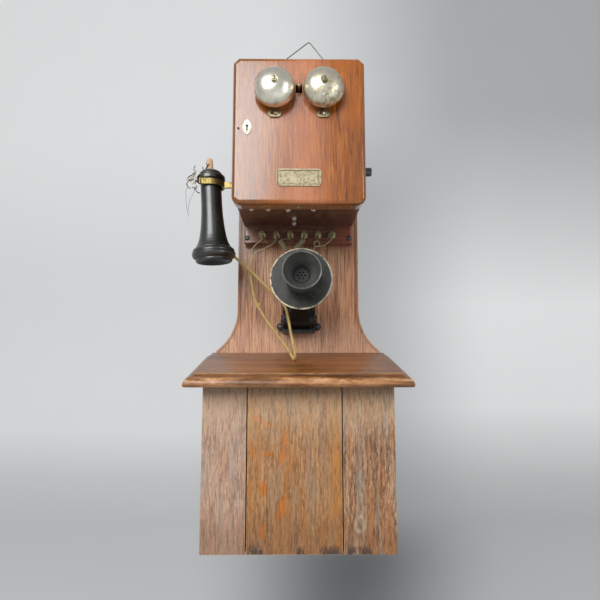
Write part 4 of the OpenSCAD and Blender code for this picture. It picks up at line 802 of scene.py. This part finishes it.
def battery_front(s, colour):
    """Golden bands and ray flecks, a greyer top, painted light on the left board and the top,
    darker towards the bottom, a stained lower edge and a faint ring mark.
    """
    ragged = s.noise(s.scaled((90, 90, 25), (2, 5, 1)), 3.0, 0.6)
    wobble = s.times(s.add(s.noise(s.scaled((260, 260, 110)), 4.0, 0.65), -0.5), 3.0)
    hues = s.noise(s.scaled((75, 75, 9), (6, 1, 4)), 4.0, 0.65)
    colour = s.mix(s.rise(hues, 0.52, 0.36, 0.0, 0.6), colour, rgb(188, 118, 56))
    colour = s.mix(s.rise(hues, 0.5, 0.64, 0.0, 0.6), colour, rgb(156, 142, 130))
    middle = s.between(s.x, -0.074, 0.0625, 0.0005)
    colour = s.mix(s.times(middle, 0.4), colour, rgb(186, 128, 62))
    band = s.most(s.rise(s.x, 0.03, 0.058), s.inverse(s.rise(s.x, -0.073, -0.06)))
    band = s.times(s.times(band, middle), s.rise(ragged, 0.36, 0.6, 0.05, 0.8))
    colour = s.mix(band, colour, rgb(198, 128, 46))
    # Painted sheen: the left board paler.
    left = s.inverse(s.rise(s.x, -0.0745, -0.074))
    colour = s.mix(s.times(left, 0.48), colour, rgb(214, 182, 164))
    for x, z, rx, rz, slant in FLECKS:
        fleck = s.spot(x, z, rx, rz, slant, wobble)
        colour = s.mix(s.times(fleck, 0.75), colour, rgb(204, 114, 22))
    grey = s.times(s.rise(s.z, -0.28, -0.17), s.rise(ragged, 0.35, 0.65))
    colour = s.mix(s.times(grey, 0.4), colour, rgb(176, 160, 142))
    # Painted light: paler towards the top.
    colour = s.mix(s.rise(s.z, -0.25, -0.17, 0.0, 0.36), colour, rgb(236, 200, 160))
    # Darker towards the bottom.
    colour = s.mix(s.rise(s.z, -0.31, -0.375, 0.0, 0.4), colour, rgb(120, 82, 56))
    for x, z, rx, rz in STAINS:
        stain = s.spot(x, z, rx, rz, 0, s.times(wobble, 1.8))
        stain = s.times(stain, s.rise(s.z, -0.388, -0.372, 1.0, 0.4))
        colour = s.mix(s.times(stain, 0.85), colour, rgb(52, 46, 44))
    uneven = s.times(wobble, 0.3)
    ring = s.times(s.spot(RING_X, RING_Z, 9, 14, 0, uneven),
                   s.inverse(s.spot(RING_X, RING_Z, 5, 9, 0, uneven)))
    return s.mix(s.times(ring, s.rise(ragged, 0.4, 0.6, 0.1, 0.7)), colour, rgb(206, 188, 154))


WEATHERED = dict(dark=rgb(84, 50, 28), mid=rgb(180, 134, 98), light=rgb(224, 184, 144),
                 banding=0.08, reach=0.11, grain=0.18)
paint(oak("oak_door", Z, rgb(110, 52, 10), rgb(166, 89, 16), rgb(196, 116, 28), seed=3.0,
          banding=0.12, reach=0.1, grain=0.05, pores=0.5, lines=(0.2, 420, 0.03), relief=0.15,
          worn=rgb(174, 93, 0), wear=door_wear, edge=rgb(205, 156, 110), rough=0.24, gloss=0.9,
          extra=door_sheen_and_edges), "door_panel")
paint(oak("oak_board", Z, rgb(132, 84, 54), rgb(202, 143, 102), rgb(234, 182, 138), seed=9.0,
          reach=0.1, grain=0.05, lines=(0.6, 430, 0.03), edge=rgb(196, 124, 72), rough=0.36,
          gloss=0.3, extra=board_step), "backboard")
paint(oak("oak_case_side", Z, rgb(58, 28, 17), rgb(98, 50, 29), rgb(130, 74, 44), seed=5.0,
          edge=rgb(160, 100, 70)), "box_left_side", "box_right_side")
paint(oak("oak_case_flat", X, rgb(68, 38, 26), rgb(112, 66, 46), rgb(146, 92, 64), seed=6.5,
          gloss=0.12), "box_top", "box_bottom")
paint(oak("oak_strip", X, rgb(80, 44, 32), rgb(124, 74, 52), rgb(158, 102, 72), seed=7.5,
          edge=rgb(190, 140, 108), rough=0.26, extra=strip_ends), "terminal_strip")
paint(oak("oak_shelf", X, rgb(78, 42, 14), rgb(142, 83, 30), rgb(190, 123, 58), seed=12.0,
          pores=0.55, lines=(0.55, 55, 0.16), worn=rgb(202, 146, 98), wear=shelf_wear,
          edge=rgb(214, 174, 130), rough=0.36, gloss=0.2, extra=shelf_lines), "writing_shelf")
paint(oak("oak_battery_front", Z, seed=15.0, rough=0.5, gloss=0.08, pores=0.3,
          lines=(0.34, 430, 0.1), edge=rgb(196, 166, 138), extra=battery_front, **WEATHERED),
      "front_boards")
paint(oak("oak_battery_side", Z, seed=18.0, rough=0.5, gloss=0.08, pores=0.5, **WEATHERED),
      "battery_sides")
paint(oak("oak_battery_flat", X, seed=21.0, rough=0.55, gloss=0.0, pores=0.5, **WEATHERED),
      "battery_bottom", "front_battens")
paint(oak("oak_dowel", Y, seed=24.0, rough=0.6, gloss=0.0, **WEATHERED), "front_dowels")


def plate_border(s):
    """A darker line a little way in from the bare plate's rim, and mottled tarnish."""
    side = s.math("ABSOLUTE", s.add(s.x, 0.0013))
    up = s.math("ABSOLUTE", s.add(s.z, -0.1415))
    line = s.most(s.between(side, 0.0285, 0.0302, 0.0006), s.between(up, 0.0092, 0.0108, 0.0005))
    inside = s.times(s.inverse(s.rise(side, 0.0299, 0.0305)),
                     s.inverse(s.rise(up, 0.0106, 0.0111)))
    mottled = s.noise(s.scaled((380, 380, 380), (2, 2, 7)), 3.0, 0.6)
    return s.most(s.times(line, inside), s.rise(mottled, 0.46, 0.6, 0.0, 0.55))


def right_gong(s):
    """Speckled olive tarnish on the right-hand gong, most of it low down."""
    speckle = s.noise(s.scaled((150, 150, 150), (3, 8, 5)), 5.0, 0.72)
    speckle = s.times(s.rise(s.x, -0.002, 0.002), s.rise(speckle, 0.44, 0.62, 0.1, 0.9))
    return s.times(speckle, s.rise(s.z, 0.25, 0.3, 1.0, 0.5))


paint(metal("nickel_gongs", rgb(244, 240, 224), rgb(164, 146, 98), seed=1.0, rough=0.27,
            stained=0.2, pitted=-0.1, local=right_gong, bumps=0.1), "gongs")
paint(metal("nickel_small", rgb(176, 167, 142), rgb(112, 98, 64), seed=4.0, rough=0.3,
            stained=0.7), "gong_stands", "gong_screws", "striker")
paint(metal("nickel_terminals", rgb(234, 230, 220), rgb(176, 166, 140), seed=5.0, rough=0.34,
            stained=0.3), "underside_terminals")
paint(metal("nickel_keyhole", rgb(192, 189, 178), rgb(160, 152, 134), seed=6.0, rough=0.5,
            stained=0.4), "keyhole_plate")
paint(metal("brass_posts", rgb(186, 178, 136), rgb(96, 98, 68), seed=8.0, rough=0.22,
            stained=0.7, pitted=0.1), "binding_posts")
paint(metal("brass_plate", rgb(180, 170, 142), rgb(118, 106, 76), seed=9.0, rough=0.56,
            stained=0.1, pitted=0.15, brushed=(160, 1500, 1500), edge=rgb(222, 214, 186),
            local=plate_border), "bare_plate", "lip_plate")
paint(metal("brass_hook", rgb(150, 134, 84), rgb(92, 78, 36), seed=10.0, rough=0.42,
            stained=0.6, edge=rgb(190, 174, 124)), "hook_lever")
paint(metal("brass_inside", rgb(196, 158, 90), rgb(128, 98, 52), seed=11.0, rough=0.3,
            stained=0.5),
      "hook_springs", "generator_plates", "crank_bush", "hinge_box_leaves", "hinge_pins",
      "lock_case", "hinge_door_leaves", "drive_gear", "carbon_button")
paint(metal("steel_bright", rgb(168, 166, 158), rgb(112, 100, 84), seed=12.0, rough=0.32,
            stained=0.6), "hook_bracket", "lock_bolt", "receiver_magnet", "receiver_diaphragm")
paint(metal("iron_soft", rgb(124, 122, 120), rgb(86, 70, 58), seed=13.0, rough=0.46,
            stained=0.7, pitted=0.2), "pole_pieces", "ringer_frame", "armature")
paint(metal("aluminium_sheet", rgb(206, 207, 210), rgb(160, 160, 160), seed=14.0, rough=0.35,
            stained=0.3), "diaphragm")
# Painted highlight: the pale edge colour.
paint(black("blued_steel", rgb(46, 43, 41), rgb(72, 62, 54), seed=2.0, rough=0.34, dust=0.3,
            edge=rgb(134, 126, 116)),
      "wood_screws", "magnets", "arm_pin", "ringer_magnet", "hanging_wire", "door_nail",
      "frayed_wires", "hanging_wires")


def worn_rim(s):
    """The face plate's rim, rubbed down to bright metal."""
    dx, dz = s.math("SUBTRACT", s.x, 0.004), s.math("SUBTRACT", s.z, 0.001)
    far = s.math("SQRT", s.add(s.times(dx, dx), s.times(dz, dz)))
    ragged = s.rise(s.noise(s.scaled((120, 120, 120)), 3.0, 0.6), 0.3, 0.55)
    side = s.rise(s.add(dx, s.times(dz, 0.6)), 0.03, -0.03, 0.6, 1.0)
    return s.times(s.times(s.rise(far, 0.0444, 0.0456), ragged), side)


def underside(s):
    """Faces that look straight down, where painted shade goes."""
    facing = s.node("ShaderNodeNewGeometry").outputs["True Normal"]
    split = s.node("ShaderNodeSeparateXYZ", {0: facing})
    return s.rise(split.outputs[2], -0.7, -0.9)


def throat(s):
    """The mouthpiece's pierced plate, at the bottom of its throat, where painted shade goes."""
    return s.rise(s.y, -0.166, -0.160)


paint(black("black_face", rgb(38, 38, 36), rgb(82, 81, 73), seed=3.0, rough=0.3, dust=0.3,
            edge=rgb(240, 230, 198), local=worn_rim, coat=0.12, shine=0.35), "face_plate")
# Painted highlight: the pale edge colour on the arm and its base.
paint(black("black_japan", rgb(22, 22, 22), rgb(38, 38, 36), seed=5.0, rough=0.42, dust=0.3,
            edge=rgb(124, 116, 104), coat=0.0, shine=0.4),
      "arm_base", "transmitter_arm", "transmitter_cup")
# Painted shade: faces that look straight down are painted dark.
paint(black("hard_rubber", rgb(15, 18, 14), rgb(30, 32, 26), seed=7.0, rough=0.35, dust=0.15,
            coat=0.25, shine=1.0, dull=underside), "receiver_shell", "ear_cap", "receiver_head")
# Painted highlight on the mouthpiece's edges, and painted shade on the plate in its throat.
paint(black("rubber_mouthpiece", rgb(84, 84, 80), rgb(110, 109, 103), seed=9.0, rough=0.17,
            dust=0.0, edge=rgb(172, 171, 164), coat=0.0, shine=1.0, dull=throat), "mouthpiece")
paint(black("crank_steel", rgb(22, 22, 23), rgb(40, 39, 39), seed=11.0, rough=0.2, dust=0.2,
            coat=0.8, shine=0.8), "crank_shaft")

paint(cloth("cord_cotton", rgb(236, 204, 132), rgb(160, 128, 70), turns=3, per_cm=1.5,
            tint=rgb(182, 150, 88)), "cord_low", "cord_high", "cord_tail", "cord_knot")
paint(cloth("lead_cotton", rgb(236, 230, 192), rgb(150, 148, 112), turns=1, per_cm=9.0,
            tint=rgb(176, 172, 132)), *lead_lines)
paint(winding("binding_cotton", rgb(240, 206, 164), rgb(196, 156, 114), (300, 300, 1700)),
      "cord_binding")
paint(cloth("frayed_cotton", rgb(253, 251, 246), rgb(228, 222, 208), turns=1, per_cm=12.0),
      "frayed_threads")
paint(winding("coil_cloth_upright", rgb(64, 92, 66), rgb(24, 40, 28), (20, 20, 1500)),
      "ringer_coils")
paint(winding("coil_cloth_level", rgb(64, 92, 66), rgb(24, 40, 28), (1500, 20, 20)),
      "induction_coil")
paint(winding("cell_card", rgb(196, 170, 128), rgb(130, 104, 70), (160, 160, 500)), "dry_cells")


# Stage: one sweep of floor and backdrop, and three soft lamps

def add_stage():
    """Grey sweep whose seen glow follows the photograph's backdrop, from the camera's place: a
    painted gradient of light and a painted shadow beside and below the object.
    """
    bm = bmesh.new()
    floor, back, round_r, half = -0.62, 2.0, 0.8, 12.0
    profile = [(-12.0, floor), (back - round_r, floor)]
    profile += [(back - round_r + round_r * math.sin(a), floor + round_r * (1 - math.cos(a)))
                for a in (math.pi / 2 * k / 16 for k in range(1, 17))]
    profile.append((back, 5.0))
    rows = [[bm.verts.new((x, y, z)) for x in (-half, half)] for y, z in profile]
    for a, b in zip(rows, rows[1:]):
        bm.faces.new((a[0], a[1], b[1], b[0]))
    sweep_piece = finish_mesh("stage_sweep", bm)
    s = Shade("stage_grey")
    grain = s.noise(s.scaled((3, 3, 3)), 2.0)
    depth = s.add(s.y, -EYE[1])
    across = s.math("DIVIDE", s.x, depth)
    up = s.math("DIVIDE", s.add(s.z, -EYE[2]), depth)
    height = s.rise(up, -0.5, 0.7)

    def glow_ramp(*stops):
        return s.ramp(height, *((at, (v, v, v, 1)) for at, v in stops))

    # Painted light: the backdrop's glow, brighter and darker by place.
    left = glow_ramp((0.05, 0.29), (0.2, 0.48), (0.6, 0.48), (0.9, 0.55))
    right = glow_ramp((0.05, 0.24), (0.25, 0.53), (0.5, 0.58), (0.95, 0.25))
    glow = s.mix(s.rise(across, -0.1, 0.4), left, right)
    # Painted shadow: the glow dimmed beside and below the object.
    near = s.times(s.inverse(s.rise(s.math("ABSOLUTE", s.add(across, -0.1)), 0.0, 0.33)),
                   s.inverse(s.rise(up, 0.3, 0.6)))
    glow = s.times(glow, s.inverse(s.times(near, s.rise(up, -0.42, -0.3, 1.0, 0.5))))
    path = s.node("ShaderNodeLightPath").outputs
    seen = s.most(s.most(path["Is Camera Ray"], path["Is Glossy Ray"]), path["Is Transmission Ray"])
    s.set(Base_Color=s.mix(grain, rgb(148, 150, 152), rgb(154, 156, 158)), Roughness=0.9,
          Specular_IOR_Level=0.1, Emission_Color=(0.985, 1.0, 1.0, 1.0),
          Emission_Strength=s.times(glow, seen))
    sweep_piece.data.materials.append(s.material)


def add_lamp(name, place, target, size, power):
    data = bpy.data.lights.new(name, "AREA")
    data.shape, data.size, data.size_y, data.energy = "RECTANGLE", size[0], size[1], power
    lamp = bpy.data.objects.new(name, data)
    scene.collection.objects.link(lamp)
    lamp.location = place
    lamp.rotation_euler = (Vector(target) - Vector(place)).to_track_quat("-Z", "Y").to_euler()


add_stage()
add_lamp("key", (-0.85, -2.0, 1.0), (0, -0.1, 0.1), (1.5, 1.2), 42)
add_lamp("fill", (1.1, -1.1, 0.3), (0, -0.1, 0.0), (0.3, 0.9), 4)
add_lamp("low", (0.1, -1.5, -0.85), (0, -0.1, -0.2), (0.9, 0.4), 6)
world = bpy.data.worlds.new("world")
scene.world = world
world.use_nodes = True
background = world.node_tree.nodes["Background"].inputs
background["Color"].default_value = (0.78, 0.79, 0.8, 1.0)
background["Strength"].default_value = 0.5
